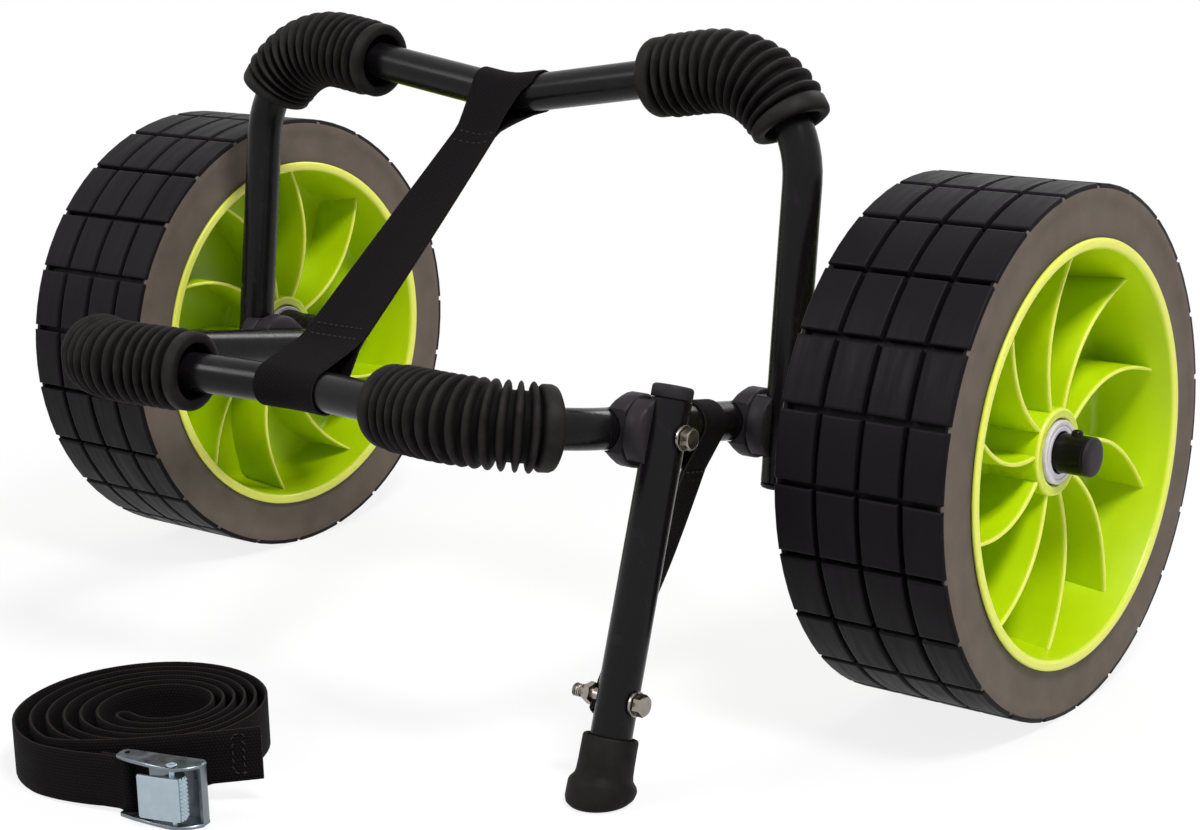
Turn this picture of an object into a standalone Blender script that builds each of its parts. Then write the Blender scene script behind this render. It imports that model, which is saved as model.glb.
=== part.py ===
"""A folding paddleboard cart on two wheels, with its kickstand down and a rolled tie-down strap.

Two bent tube frames cross at a pair of pivots. The front frame's ends are the axle stubs.
Metres, +Z up, +X to the cart's right, -Y to the front. The model stands on Z = 0.
"""
import math

import bmesh
import bpy
from mathutils import Matrix, Vector

MM = 0.001

# Fit
GAP = 0.3 * MM
RUNNING_GAP = 0.5 * MM

# Wheels
TYRE_RADIUS = 127 * MM
TYRE_ROWS = 23
TYRE_COLUMNS = 4
RIGHT_TREAD_PHASE = math.radians(178)
LEFT_TREAD_PHASE = math.radians(172)
TREAD_DEPTH = 4.5 * MM
TREAD_GROOVE = 3.0 * MM
RIM_LIP_RADIUS = 102 * MM
RIM_SEAT_RADIUS = 98 * MM
RIM_WIDTH = 90.6 * MM
RIM_LIP_WIDTH = 2.0 * MM
RIM_WALL = 3.5 * MM
RIM_DRAFT = 2.0 * MM
RIM_SIDES = 28
TYRE_WIDTH = RIM_WIDTH - 2 * (RIM_LIP_WIDTH + GAP)
WEB_THICKNESS = 6 * MM
HUB_RADIUS = 21.5 * MM
HUB_LENGTH = 65 * MM
HUB_DRAFT = 1.5 * MM
HUB_BORE_PLAY = 1.5 * MM
WEB_INTO_HUB = 4.3 * MM
RIB_INTO_HUB = 1.5 * MM
RIB_INTO_BARREL = 1.0 * MM
RIB_COUNT = 10
RIB_THICKNESS = 2.4 * MM
RIB_DROP_AT_RIM = 11 * MM
RIB_SWEEP = math.radians(18)
RIB_BOW = 5.5 * MM
RIB_STEPS = 3
RIGHT_RIB_PHASE = math.radians(85)
LEFT_RIB_PHASE = math.radians(83.7)
BUSH_RADIUS = 16 * MM
BUSH_LENGTH = 12 * MM
BUSH_FLANGE = 1.0 * MM

# Bent tubes
TUBE_RADIUS = 9.5 * MM
TUBE_WALL = 1.5 * MM
TUBE_SIDES = 12
BEND_STEPS = 5
DIP_STEPS = 2
AXLE_BEND_STEPS = 4
FINE_STEPS = 15
AXLE_HALF_LENGTH = 304.5 * MM
WHEEL_FROM_END = 48.4 * MM
WHEEL_TRACK = 2 * (AXLE_HALF_LENGTH - WHEEL_FROM_END)
AXLE_BEND_RADIUS = 40 * MM
CORNER_RADIUS = 50 * MM
DIP_BEND_RADIUS = 60 * MM
DIP_DEPTH = 26 * MM
ARM_X = 155 * MM
ARM_LENGTH = 237 * MM
ARM_RISE = math.radians(10.0)
LEG_X = 179 * MM
LEG_HEIGHT = 173 * MM
LEG_BELOW_PIVOT = 27 * MM
LEG_LEAN = math.radians(8.0)
FOLD_PIVOT_DISTANCE = 68.3 * MM
TUBE_PLUG_HEAD = 2.5 * MM
TUBE_PLUG_STEM = 10 * MM

# Grips
GRIP_RADIUS = 22 * MM
GRIP_VALLEY = 18.5 * MM
GRIP_COLLAR = 7 * MM
GRIP_RIBS = 13
GRIP_MOUTH_RADIUS = 14 * MM
GRIP_MOUTH_DEPTH = 10 * MM
GRIP_EDGE = 1.0 * MM
GRIP_ON_CROSSBAR = 76 * MM
GRIP_ON_SIDE = 14 * MM
GRIP_SIDES = 8

# Saddles and bolts
SADDLE_LENGTH = 29 * MM
SADDLE_HEIGHT = 33 * MM
SADDLE_LIP = 2 * MM
SADDLE_EDGE = 2.0 * MM
BOLT_RADIUS = 3.0 * MM
BOLT_PLAY = 0.1 * MM
BOLT_HEAD_WIDTH = 10 * MM
BOLT_HEAD_HEIGHT = 4.2 * MM
NUT_HEIGHT = 5.0 * MM
WASHER_RADIUS = 6.2 * MM
WASHER_THICKNESS = 1.2 * MM
BOLT_TAIL = 2.0 * MM

# Kickstand
KICK_FROM_CORNER = 72.5 * MM
KICK_DISTANCE = ARM_LENGTH - KICK_FROM_CORNER
KICK_LEAN = math.radians(18.9)
KICK_ABOVE_PIVOT = 22 * MM
KICK_CAP_HEAD = 6 * MM
KICK_BOLT_DISTANCE = 119 * MM
KICK_BOLT_TAIL = 6 * MM
FOOT_TOP_RADIUS = 13 * MM
FOOT_FLARE_RADIUS = 16.5 * MM
FOOT_HEIGHT = 34 * MM
FOOT_FLARE_HEIGHT = 9 * MM
FOOT_SOLE = 9 * MM
FOOT_EDGE = 1.2 * MM

# Webbing
WEB_TAPE = 1.5 * MM
SLEEVE_SIDES = 12
HOLE_TURN = math.tau * (SLEEVE_SIDES - 1) / SLEEVE_SIDES
SPREADER_WIDTH = 38 * MM
LIMITER_WIDTH = 20 * MM
LIMITER_LOOP_DISTANCE = 106 * MM
LIMITER_SEAM = 3.5 * MM
LIMITER_TIP = 6.5 * MM
LIMITER_STEP = 0.15 * MM
LIMITER_OVERLAP = 0.8 * MM
LIMITER_TUCK = 1.0 * MM

# Snap buttons
BUTTON_RADIUS = 2.8 * MM
BUTTON_PROUD = 2.4 * MM
BUTTON_FLANGE_RADIUS = 4.4 * MM
BUTTON_FLANGE = 1.0 * MM
BUTTON_FROM_END = 7.5 * MM
BUTTON_EDGE = 0.8 * MM
SPRING_LEAF = 0.8 * MM
SPRING_LENGTH = 26 * MM
SPRING_WIDTH = 6 * MM
SPRING_PAD = 3 * MM
SPRING_HEEL = 3 * MM
SPRING_LIFT = 0.6 * MM

# Axle spacers
SPACER_RADIUS = 13.5 * MM

# Tie-down strap and cam buckle
TAPE_WIDTH = 25 * MM
TAPE_THICKNESS = 1.6 * MM
ROLL_CENTRE = (-28 * MM, -294 * MM)
ROLL_INNER = (24 * MM, 20 * MM)
ROLL_STEP = 5.4 * MM
ROLL_TURNS = 3.0
ROLL_END_ANGLE = math.radians(-98)
POINTS_PER_TURN = 24
FOLD_STEPS = 6
FOLD_REACH = 1.6
TAIL_BEND = (27 * MM, -324 * MM)
TAIL_END = (57 * MM, -301 * MM)
TAIL_LIFT = 8 * MM
TAIL_RUN = 26 * MM
TAIL_STEPS = 8
LEAD_RUN = 14 * MM
LEAD_STEPS = 5
LEAD_END_RUN = 8 * MM
BUCKLE_SPOT = (45.6 * MM, -343.8 * MM)
BUCKLE_TURN = math.radians(16)
BUCKLE_INSIDE = 25.6 * MM
BUCKLE_WALL = 1.6 * MM
BUCKLE_BACK = 11.2 * MM
BUCKLE_FRONT = 2.8 * MM
BUCKLE_SHOULDER = 0.6 * BUCKLE_FRONT
BUCKLE_LEFT = 31 * MM
BUCKLE_RIGHT = 11.5 * MM
BUCKLE_TIP = 4.2 * MM
BUCKLE_FLOOR_LEFT = 18 * MM
BUCKLE_PIN_RADIUS = 1.6 * MM
BUCKLE_HEAD = 0.8 * MM
BAR_OFFSET = (-27.2 * MM, 7.6 * MM)
BUCKLE_LIFT = BUCKLE_WALL + GAP
LOOP_LENGTH = 14 * MM
LOOP_NECK = 0.4
LOOP_HALF_TURN = math.radians(110)
LOOP_STEPS = 6
LOOP_SEAM = TAPE_THICKNESS + 0.5 * MM
CAM_RADIUS = 6.5 * MM
CAM_TEETH = 6
CAM_TOOTH = 1.0 * MM
CAM_FIRST_ANGLE = math.radians(-10)
CAM_SWEEP = math.radians(110)
CAM_HEEL = 0.7
CAM_TOE = 0.6
LEVER_WIDTH = 20 * MM
LEVER_REACH = 16 * MM
LEVER_PLATE = 1.6 * MM


def remove_everything():
    for item in list(bpy.data.objects):
        bpy.data.objects.remove(item)


def material(name, colour, roughness, metallic=0.0):
    made = bpy.data.materials.new(name)
    made.use_nodes = True
    shader = made.node_tree.nodes["Principled BSDF"]
    shader.inputs["Base Color"].default_value = (*colour, 1.0)
    shader.inputs["Roughness"].default_value = roughness
    shader.inputs["Metallic"].default_value = metallic
    made.diffuse_color = (*colour, 1.0)
    return made


def axis_empty(name, parent=None, location=(0, 0, 0), tilt=0.0):
    """An empty on a joint's axis, tilted about X."""
    empty = bpy.data.objects.new(name, None)
    bpy.context.collection.objects.link(empty)
    empty.parent = parent
    empty.location = location
    empty.rotation_euler = (tilt, 0, 0)
    return empty


def add_piece(name, mesh_builder, surface, parent, location=(0, 0, 0), rotation=(0, 0, 0)):
    """Turn a bmesh into one named object."""
    bmesh.ops.recalc_face_normals(mesh_builder, faces=mesh_builder.faces)
    mesh = bpy.data.meshes.new(name)
    mesh_builder.to_mesh(mesh)
    mesh_builder.free()
    mesh.materials.append(surface)
    mesh.shade_smooth()
    mesh.set_sharp_from_angle(angle=math.radians(35))
    piece = bpy.data.objects.new(name, mesh)
    bpy.context.collection.objects.link(piece)
    piece.parent = parent
    piece.location = location
    piece.rotation_euler = rotation
    return piece


def cut(piece, cutter_mesh, name):
    """Subtract a bmesh, given in the piece's own space, with a Boolean modifier."""
    combine(piece, cutter_mesh, name, "DIFFERENCE")


def combine(piece, other_mesh, name, operation):
    bmesh.ops.recalc_face_normals(other_mesh, faces=other_mesh.faces)
    mesh = bpy.data.meshes.new(name)
    other_mesh.to_mesh(mesh)
    other_mesh.free()
    other = bpy.data.objects.new(name, mesh)
    bpy.context.collection.objects.link(other)
    other.parent = piece
    other.hide_render = True
    other.display_type = "WIRE"
    modifier = piece.modifiers.new(name, "BOOLEAN")
    modifier.operation = operation
    modifier.object = other


def ring_loop(mesh, points):
    return [mesh.verts.new(point) for point in points]


def skin_loops(mesh, loops, closed=False):
    """Join equal loops of vertices with quads. A closed skin joins the last to the first."""
    count = len(loops[0])
    pairs = list(zip(loops, loops[1:]))
    if closed:
        pairs.append((loops[-1], loops[0]))
    for first, second in pairs:
        for i in range(count):
            j = (i + 1) % count
            mesh.faces.new((first[i], first[j], second[j], second[i]))


def lathe(profile, sides, phase=0.0, axis="X"):
    """Revolve (along, radius) points about an axis. Radius 0 at both ends closes the solid,
    any other profile is a closed loop."""
    mesh = bmesh.new()
    solid = profile[0][1] == 0 and profile[-1][1] == 0
    rings = profile[1:-1] if solid else profile
    loops = []
    for along, radius in rings:
        points = []
        for i in range(sides):
            angle = phase + math.tau * i / sides
            across = (radius * math.cos(angle), radius * math.sin(angle))
            points.append((along, *across) if axis == "X" else (*across, along))
        loops.append(ring_loop(mesh, points))
    skin_loops(mesh, loops, closed=not solid)
    if solid:
        mesh.faces.new(loops[0])
        mesh.faces.new(loops[-1])
    return mesh


def rounded_path(corners, bends):
    """Straight runs joined by arcs. Corners are 3-D points, and each bend at an inner one is a
    radius and a count of steps."""
    corners = [Vector(corner) for corner in corners]
    path = [corners[0]]
    for before, here, after, (radius, steps) in zip(corners, corners[1:], corners[2:], bends):
        back = (before - here).normalized()
        ahead = (after - here).normalized()
        half = back.angle(ahead) / 2
        reach = radius / math.tan(half)
        centre = here + (back + ahead).normalized() * radius / math.sin(half)
        start = here + back * reach - centre
        turn = math.pi - 2 * half
        for step in range(steps + 1):
            angle = turn * step / steps
            path.append(centre + start * math.cos(angle) - back * radius * math.sin(angle))
    path.append(corners[-1])
    return path


def path_tangents(path):
    tangents = []
    for i in range(len(path)):
        before = path[max(i - 1, 0)]
        after = path[min(i + 1, len(path) - 1)]
        here = path[i]
        one = (here - before).normalized() if i > 0 else (after - here).normalized()
        two = (after - here).normalized() if i < len(path) - 1 else one
        tangents.append((one + two).normalized())
    return tangents


def ring_about(mesh, centre, tangent, normal, radius, sides):
    """A ring of vertices square to a tangent, with a flat side facing the normal."""
    across = tangent.cross(normal)
    points = []
    for i in range(sides):
        angle = math.tau * (i + 0.5) / sides
        points.append(centre + (normal * math.cos(angle) + across * math.sin(angle)) * radius)
    return ring_loop(mesh, points)


def tube_loops(mesh, path, radius, normal, sides):
    """Rings along a path that lies in the plane with this normal."""
    return [ring_about(mesh, here, tangent, normal, radius, sides)
            for here, tangent in zip(path, path_tangents(path))]


def hollow_tube(path, outer, inner, normal, sides):
    mesh = bmesh.new()
    normal = Vector(normal)
    outside = tube_loops(mesh, path, outer, normal, sides)
    inside = tube_loops(mesh, path, inner, normal, sides)
    skin_loops(mesh, outside + inside[::-1], closed=True)
    return mesh


def path_length(path):
    return sum((b - a).length for a, b in zip(path, path[1:]))


def part_of_path(path, start, end):
    """The stretch of a path between two distances along it."""
    stretch = []
    run = 0.0
    for a, b in zip(path, path[1:]):
        length = (b - a).length
        if run <= start < run + length:
            stretch.append(a.lerp(b, (start - run) / length))
        elif stretch and run < end:
            stretch.append(a.copy())
        if stretch and end <= run + length:
            stretch.append(a.lerp(b, (end - run) / length))
            break
        run += length
    return stretch


def point_on_path(path, distance):
    run = 0.0
    for a, b in zip(path, path[1:]):
        length = (b - a).length
        if distance <= run + length:
            return a.lerp(b, (distance - run) / length)
        run += length
    return path[-1].copy()


# Materials
def make_materials():
    return {
        "steel": material("black_coated_steel", (0.012, 0.012, 0.013), 0.42, 0.0),
        "plastic": material("black_moulded_plastic", (0.018, 0.017, 0.020), 0.55),
        "rubber": material("black_rubber_grip", (0.014, 0.013, 0.014), 0.75),
        "tyre": material("solid_foam_tyre", (0.022, 0.020, 0.023), 0.8),
        "rim": material("lime_green_plastic", (0.42, 0.72, 0.01), 0.35),
        "bush": material("pale_grey_nylon", (0.6, 0.58, 0.6), 0.45),
        "zinc": material("zinc_plated_steel", (0.62, 0.62, 0.6), 0.32, 1.0),
        "webbing": material("black_webbing", (0.013, 0.012, 0.014), 0.9),
    }


# Tubes
def front_path(steps=BEND_STEPS, dip_steps=DIP_STEPS):
    """The front frame's centre line in its own plane, where -Y runs out along the arms."""
    corners = [
        (-AXLE_HALF_LENGTH, 0, 0),
        (-ARM_X, 0, 0),
        (-ARM_X, -ARM_LENGTH, 0),
        (0, -ARM_LENGTH + DIP_DEPTH, 0),
        (ARM_X, -ARM_LENGTH, 0),
        (ARM_X, 0, 0),
        (AXLE_HALF_LENGTH, 0, 0),
    ]
    axle_bend = (AXLE_BEND_RADIUS, AXLE_BEND_STEPS)
    corner = (CORNER_RADIUS, steps)
    return rounded_path(corners, [axle_bend, corner, (DIP_BEND_RADIUS, dip_steps), corner, axle_bend])


def rear_path(steps=BEND_STEPS, dip_steps=DIP_STEPS):
    """The rear frame's centre line in its own plane, where +Z runs up the legs."""
    corners = [
        (-LEG_X, 0, -LEG_BELOW_PIVOT),
        (-LEG_X, 0, LEG_HEIGHT),
        (0, 0, LEG_HEIGHT - DIP_DEPTH),
        (LEG_X, 0, LEG_HEIGHT),
        (LEG_X, 0, -LEG_BELOW_PIVOT),
    ]
    corner = (CORNER_RADIUS, steps)
    return rounded_path(corners, [corner, (DIP_BEND_RADIUS, dip_steps), corner])


def cross_hole(x_from, x_to, y, z, radius, sides=16):
    """A cutter along X."""
    mesh = lathe([(x_from, 0), (x_from, radius), (x_to, radius), (x_to, 0)], sides)
    bmesh.ops.translate(mesh, verts=mesh.verts, vec=(0, y, z))
    return mesh


def front_frame(parts, surfaces, parent):
    mesh = hollow_tube(front_path(), TUBE_RADIUS, TUBE_RADIUS - TUBE_WALL, (0, 0, 1), TUBE_SIDES)
    tube = add_piece("front_frame_tube", mesh, surfaces["steel"], parent)
    hole = BOLT_RADIUS + GAP
    beyond = TUBE_RADIUS * 2
    for side, name in ((-1, "left"), (1, "right")):
        inner = side * (ARM_X - beyond)
        outer = side * (ARM_X + beyond)
        cut(tube, cross_hole(inner, outer, -FOLD_PIVOT_DISTANCE, 0, hole), name + "_fold_hole")
        button_x = side * (AXLE_HALF_LENGTH - BUTTON_FROM_END)
        button_hole = BUTTON_RADIUS + GAP
        drill = lathe([(0, 0), (0, button_hole), (beyond, button_hole), (beyond, 0)], 12, axis="Z")
        bmesh.ops.translate(drill, verts=drill.verts, vec=(button_x, 0, 0))
        cut(tube, drill, name + "_button_hole")
    cut(tube, cross_hole(ARM_X - beyond, ARM_X + beyond, -KICK_DISTANCE, 0, hole), "kick_hole")
    parts.append(tube)


def rear_frame(parts, surfaces, parent):
    mesh = hollow_tube(rear_path(), TUBE_RADIUS, TUBE_RADIUS - TUBE_WALL, (0, 1, 0), TUBE_SIDES)
    tube = add_piece("rear_frame_tube", mesh, surfaces["steel"], parent)
    beyond = TUBE_RADIUS * 2
    for side, name in ((-1, "left"), (1, "right")):
        drill = cross_hole(side * (LEG_X - beyond), side * (LEG_X + beyond), 0, 0, BOLT_RADIUS + GAP)
        cut(tube, drill, name + "_fold_hole")
    parts.append(tube)


# Plugs in the ends of the tubes
def tube_plug(head, stem):
    """A plug along -Z: its head sits on the tube's end at Z = 0 and its stem runs up inside."""
    bore = TUBE_RADIUS - TUBE_WALL
    stem_radius = (bore - GAP) * math.cos(math.pi / TUBE_SIDES)
    edge = min(0.8 * MM, head / 2)
    profile = [
        (-GAP - head, 0),
        (-GAP - head, TUBE_RADIUS - edge),
        (-GAP - head + edge, TUBE_RADIUS),
        (-GAP, TUBE_RADIUS),
        (-GAP, stem_radius),
        (stem, stem_radius),
        (stem, 0),
    ]
    return lathe(profile, TUBE_SIDES, axis="Z")


def tube_plugs(parts, surfaces, front, rear):
    for side, name in ((-1, "left"), (1, "right")):
        stem = BUTTON_FROM_END - BUTTON_FLANGE_RADIUS - RUNNING_GAP
        parts.append(add_piece(
            "axle_plug_" + name, tube_plug(TUBE_PLUG_HEAD, stem), surfaces["plastic"], front,
            (side * AXLE_HALF_LENGTH, 0, 0), (0, -side * math.pi / 2, 0)))
        parts.append(add_piece(
            "rear_leg_plug_" + name, tube_plug(TUBE_PLUG_HEAD, TUBE_PLUG_STEM), surfaces["plastic"], rear,
            (side * LEG_X, 0, -LEG_BELOW_PIVOT)))


# Grips
def grip_ribs(total):
    """Pairs of distance and radius for the outside: a collar at each end and the ribs between."""
    stations = [(0.0, GRIP_RADIUS - GRIP_EDGE), (GRIP_EDGE, GRIP_RADIUS), (GRIP_COLLAR, GRIP_RADIUS)]
    pitch = (total - 2 * GRIP_COLLAR) / (GRIP_RIBS + 0.5)
    for i in range(GRIP_RIBS):
        here = GRIP_COLLAR + pitch * (i + 0.5)
        stations.append((here, GRIP_VALLEY))
        stations.append((here + pitch / 2, GRIP_RADIUS))
    stations.append((total - GRIP_COLLAR, GRIP_VALLEY))
    stations.append((total - GRIP_COLLAR + pitch / 4, GRIP_RADIUS))
    stations.append((total - GRIP_EDGE, GRIP_RADIUS))
    stations.append((total, GRIP_RADIUS - GRIP_EDGE))
    return stations


def grip(curve, tube, normal):
    """A ribbed sleeve along a stretch of the smooth centre line, bored to fit the same stretch of
    the tube as it is built, with a wide mouth at each end."""
    mesh = bmesh.new()
    normal = Vector(normal)
    total = path_length(curve)
    loops = []
    for distance, radius in grip_ribs(total):
        here = point_on_path(curve, distance)
        ahead = point_on_path(curve, min(distance + MM, total))
        behind = point_on_path(curve, max(distance - MM, 0))
        loops.append(ring_about(mesh, here, (ahead - behind).normalized(), normal, radius, GRIP_SIDES))
    seat = part_of_path(tube, GRIP_MOUTH_DEPTH, path_length(tube) - GRIP_MOUTH_DEPTH)
    fit = (TUBE_RADIUS + GAP) / math.cos(math.pi / GRIP_SIDES)
    mouths = []
    for path in (tube, seat):
        tangents = path_tangents(path)
        for end in (0, -1):
            mouths.append(ring_about(mesh, path[end], tangents[end], normal, GRIP_MOUTH_RADIUS, GRIP_SIDES))
    outer_near, outer_far, inner_near, inner_far = mouths
    bore = [outer_near, inner_near] + tube_loops(mesh, seat, fit, normal, GRIP_SIDES) + [inner_far, outer_far]
    skin_loops(mesh, loops + bore[::-1], closed=True)
    return mesh


def grip_stretch(path, corner, from_start):
    """The stretch of a frame's path that a grip covers, from the crossbar round a corner."""
    middle = 0.0
    nearest = None
    run = 0.0
    for a, b in zip(path, path[1:]):
        half_way = (a + b) / 2
        distance = (half_way - corner).length
        if nearest is None or distance < nearest:
            nearest = distance
            middle = run + (b - a).length / 2
        run += (b - a).length
    if from_start:
        return part_of_path(path, middle - GRIP_ON_SIDE, middle + GRIP_ON_CROSSBAR)
    return part_of_path(path, middle - GRIP_ON_CROSSBAR, middle + GRIP_ON_SIDE)


def grips(parts, surfaces, front, rear):
    front_lines = (front_path(FINE_STEPS, FINE_STEPS), front_path())
    rear_lines = (rear_path(FINE_STEPS, FINE_STEPS), rear_path())
    for side, name in ((-1, "left"), (1, "right")):
        corner = Vector((side * ARM_X, -ARM_LENGTH, 0))
        curve, tube = (grip_stretch(line, corner, side < 0) for line in front_lines)
        parts.append(add_piece("front_grip_" + name, grip(curve, tube, (0, 0, 1)), surfaces["rubber"], front))
        corner = Vector((side * LEG_X, 0, LEG_HEIGHT))
        curve, tube = (grip_stretch(line, corner, side < 0) for line in rear_lines)
        parts.append(add_piece("rear_grip_" + name, grip(curve, tube, (0, 1, 0)), surfaces["rubber"], rear))


# Saddles
def half_saddle(parts, name, surfaces, parent, tubes, place, along_arm):
    """A block with a trough for its own tube. Its flat face bears on the half that is seated on
    the tube that crosses it. tubes holds the X of its own tube and of the other."""
    own, other = tubes
    middle = (own + other) / 2
    towards = 1 if other > own else -1
    flat = middle - towards * RUNNING_GAP / 2
    lips = own + towards * SADDLE_LIP
    size = (SADDLE_LENGTH, SADDLE_HEIGHT) if along_arm else (SADDLE_HEIGHT, SADDLE_LENGTH)
    mesh = bmesh.new()
    bmesh.ops.create_cube(mesh, size=1.0)
    bmesh.ops.scale(mesh, verts=mesh.verts, vec=(abs(flat - lips), *size))
    bmesh.ops.bevel(mesh, geom=mesh.edges[:], offset=SADDLE_EDGE, segments=1, affect="EDGES")
    centre = (flat + lips) / 2
    block = add_piece(name, mesh, surfaces["plastic"], parent, (centre, *place))
    radius = (TUBE_RADIUS + GAP) / math.cos(math.pi / TUBE_SIDES)
    reach = SADDLE_HEIGHT
    rod = [(-reach, 0), (-reach, radius), (reach, radius), (reach, 0)]
    trough = lathe(rod, TUBE_SIDES, math.pi / TUBE_SIDES, "Z")
    if along_arm:
        bmesh.ops.rotate(trough, verts=trough.verts, matrix=Matrix.Rotation(math.pi / 2, 3, "X"))
    bmesh.ops.translate(trough, verts=trough.verts, vec=(own - centre, 0, 0))
    cut(block, trough, name + "_trough")
    cut(block, cross_hole(-reach, reach, 0, 0, BOLT_RADIUS + GAP), name + "_bolt_hole")
    parts.append(block)


def saddles(parts, surfaces, front, rear, kick):
    for side, name in ((-1, "left"), (1, "right")):
        tubes = (side * ARM_X, side * LEG_X)
        place = (-FOLD_PIVOT_DISTANCE, 0)
        half_saddle(parts, "fold_saddle_" + name + "_inner", surfaces, front, tubes, place, True)
        half_saddle(parts, "fold_saddle_" + name + "_outer", surfaces, rear, tubes[::-1], (0, 0), False)
    place = (-KICK_DISTANCE, 0)
    half_saddle(parts, "kickstand_saddle_inner", surfaces, front, (ARM_X, LEG_X), place, True)
    half_saddle(parts, "kickstand_saddle_outer", surfaces, kick, (0, ARM_X - LEG_X), (0, 0), False)


# Fasteners
def polygon_ring(mesh, x, radii):
    points = []
    for i, radius in enumerate(radii):
        angle = math.tau * i / len(radii)
        points.append((x, radius * math.cos(angle), radius * math.sin(angle)))
    return ring_loop(mesh, points)


def hexagon(across_flats):
    """Radii of 12 points round a hexagon: corner, middle of a flat, and so on."""
    flat = across_flats / 2
    corner = flat / math.cos(math.pi / 6)
    return [corner, flat] * 6


def round_outline(radius):
    return [radius] * 12


def hex_bolt(head_x, tip_x):
    """Head outside head_x, shank from there to tip_x, along X."""
    mesh = bmesh.new()
    out = 1 if head_x > tip_x else -1
    loops = [
        polygon_ring(mesh, head_x + out * BOLT_HEAD_HEIGHT, hexagon(BOLT_HEAD_WIDTH)),
        polygon_ring(mesh, head_x, hexagon(BOLT_HEAD_WIDTH)),
        polygon_ring(mesh, head_x, round_outline(BOLT_RADIUS)),
        polygon_ring(mesh, tip_x, round_outline(BOLT_RADIUS)),
    ]
    skin_loops(mesh, loops)
    mesh.faces.new(loops[0])
    mesh.faces.new(loops[-1])
    return mesh


def ring_block(x_from, x_to, outer):
    """A nut or a washer on a bolt along X."""
    mesh = bmesh.new()
    bore = round_outline((BOLT_RADIUS + BOLT_PLAY) / math.cos(math.pi / 12))
    loops = [
        polygon_ring(mesh, x_from, outer),
        polygon_ring(mesh, x_to, outer),
        polygon_ring(mesh, x_to, bore),
        polygon_ring(mesh, x_from, bore),
    ]
    skin_loops(mesh, loops, closed=True)
    return mesh


def fastener(parts, surfaces, parent, name, side, faces, spot, tail):
    """A bolt through the stack between two faces, its washer under the head and a nut behind.

    faces holds the X of the outer and the inner face of what is clamped."""
    outer, inner = faces
    washer_out = outer + side * (GAP + WASHER_THICKNESS)
    head = washer_out + side * GAP
    nut_near = inner - side * GAP
    nut_far = nut_near - side * NUT_HEIGHT
    tip = nut_far - side * tail
    pieces = (
        ("bolt", hex_bolt(head, tip)),
        ("washer", ring_block(outer + side * GAP, washer_out, round_outline(WASHER_RADIUS))),
        ("nut", ring_block(nut_near, nut_far, hexagon(BOLT_HEAD_WIDTH))),
    )
    for kind, mesh in pieces:
        parts.append(add_piece(name + "_" + kind, mesh, surfaces["zinc"], parent, (0, *spot)))


# Wheels
def around_x(x, radius, angle):
    return (x, radius * math.cos(angle), radius * math.sin(angle))


def tyre_mesh(phase):
    """A ring with square-cut tread blocks: a raised cell for each block, a floor between."""
    mesh = bmesh.new()
    row = math.tau / TYRE_ROWS
    half_groove = TREAD_GROOVE / TYRE_RADIUS / 2
    angles = []
    for i in range(TYRE_ROWS):
        angles += [phase + i * row + half_groove, phase + (i + 1) * row - half_groove]
    half_block = row / 2 - half_groove
    floor = TYRE_RADIUS - TREAD_DEPTH
    block = (TYRE_WIDTH - (TYRE_COLUMNS - 1) * TREAD_GROOVE) / TYRE_COLUMNS
    edges = []
    for i in range(TYRE_COLUMNS):
        left = -TYRE_WIDTH / 2 + i * (block + TREAD_GROOVE)
        edges += [left, left + block]
    low = [[mesh.verts.new(around_x(x, floor, angle)) for x in edges] for angle in angles]
    high = [[mesh.verts.new(around_x(x, TYRE_RADIUS, angle)) for x in edges] for angle in angles]
    spans = len(angles)
    for j in range(spans):
        nxt = (j + 1) % spans
        raised_row = j % 2 == 0
        for k in range(len(edges) - 1):
            raised = raised_row and k % 2 == 0
            level = high if raised else low
            mesh.faces.new((level[j][k], level[j][k + 1], level[nxt][k + 1], level[nxt][k]))
            if raised:
                mesh.faces.new((low[j][k], low[nxt][k], high[nxt][k], high[j][k]))
                mesh.faces.new((low[j][k + 1], high[j][k + 1], high[nxt][k + 1], low[nxt][k + 1]))
                mesh.faces.new((low[j][k], high[j][k], high[j][k + 1], low[j][k + 1]))
                mesh.faces.new((low[nxt][k], low[nxt][k + 1], high[nxt][k + 1], high[nxt][k]))
    seat = (RIM_SEAT_RADIUS + GAP) / math.cos(half_block)
    loops = [[low[j][0] for j in range(spans)]]
    for x in (-TYRE_WIDTH / 2, TYRE_WIDTH / 2):
        loops.append(ring_loop(mesh, [around_x(x, seat, angle) for angle in angles]))
    loops.append([low[j][-1] for j in range(spans)])
    skin_loops(mesh, loops)
    return mesh


def rim_body():
    """Barrel with a lip each side and the middle web, turned about X."""
    half = RIM_WIDTH / 2
    lip_in = half - RIM_LIP_WIDTH
    barrel = RIM_SEAT_RADIUS - RIM_WALL
    web = WEB_THICKNESS / 2
    profile = [
        (web, HUB_RADIUS - WEB_INTO_HUB),
        (web, barrel - RIM_DRAFT),
        (half, barrel + RIM_DRAFT),
        (half, RIM_LIP_RADIUS),
        (lip_in, RIM_LIP_RADIUS),
        (lip_in, RIM_SEAT_RADIUS),
    ]
    mirrored = [(-x, radius) for x, radius in reversed(profile)]
    return lathe(profile + mirrored, RIM_SIDES)


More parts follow.
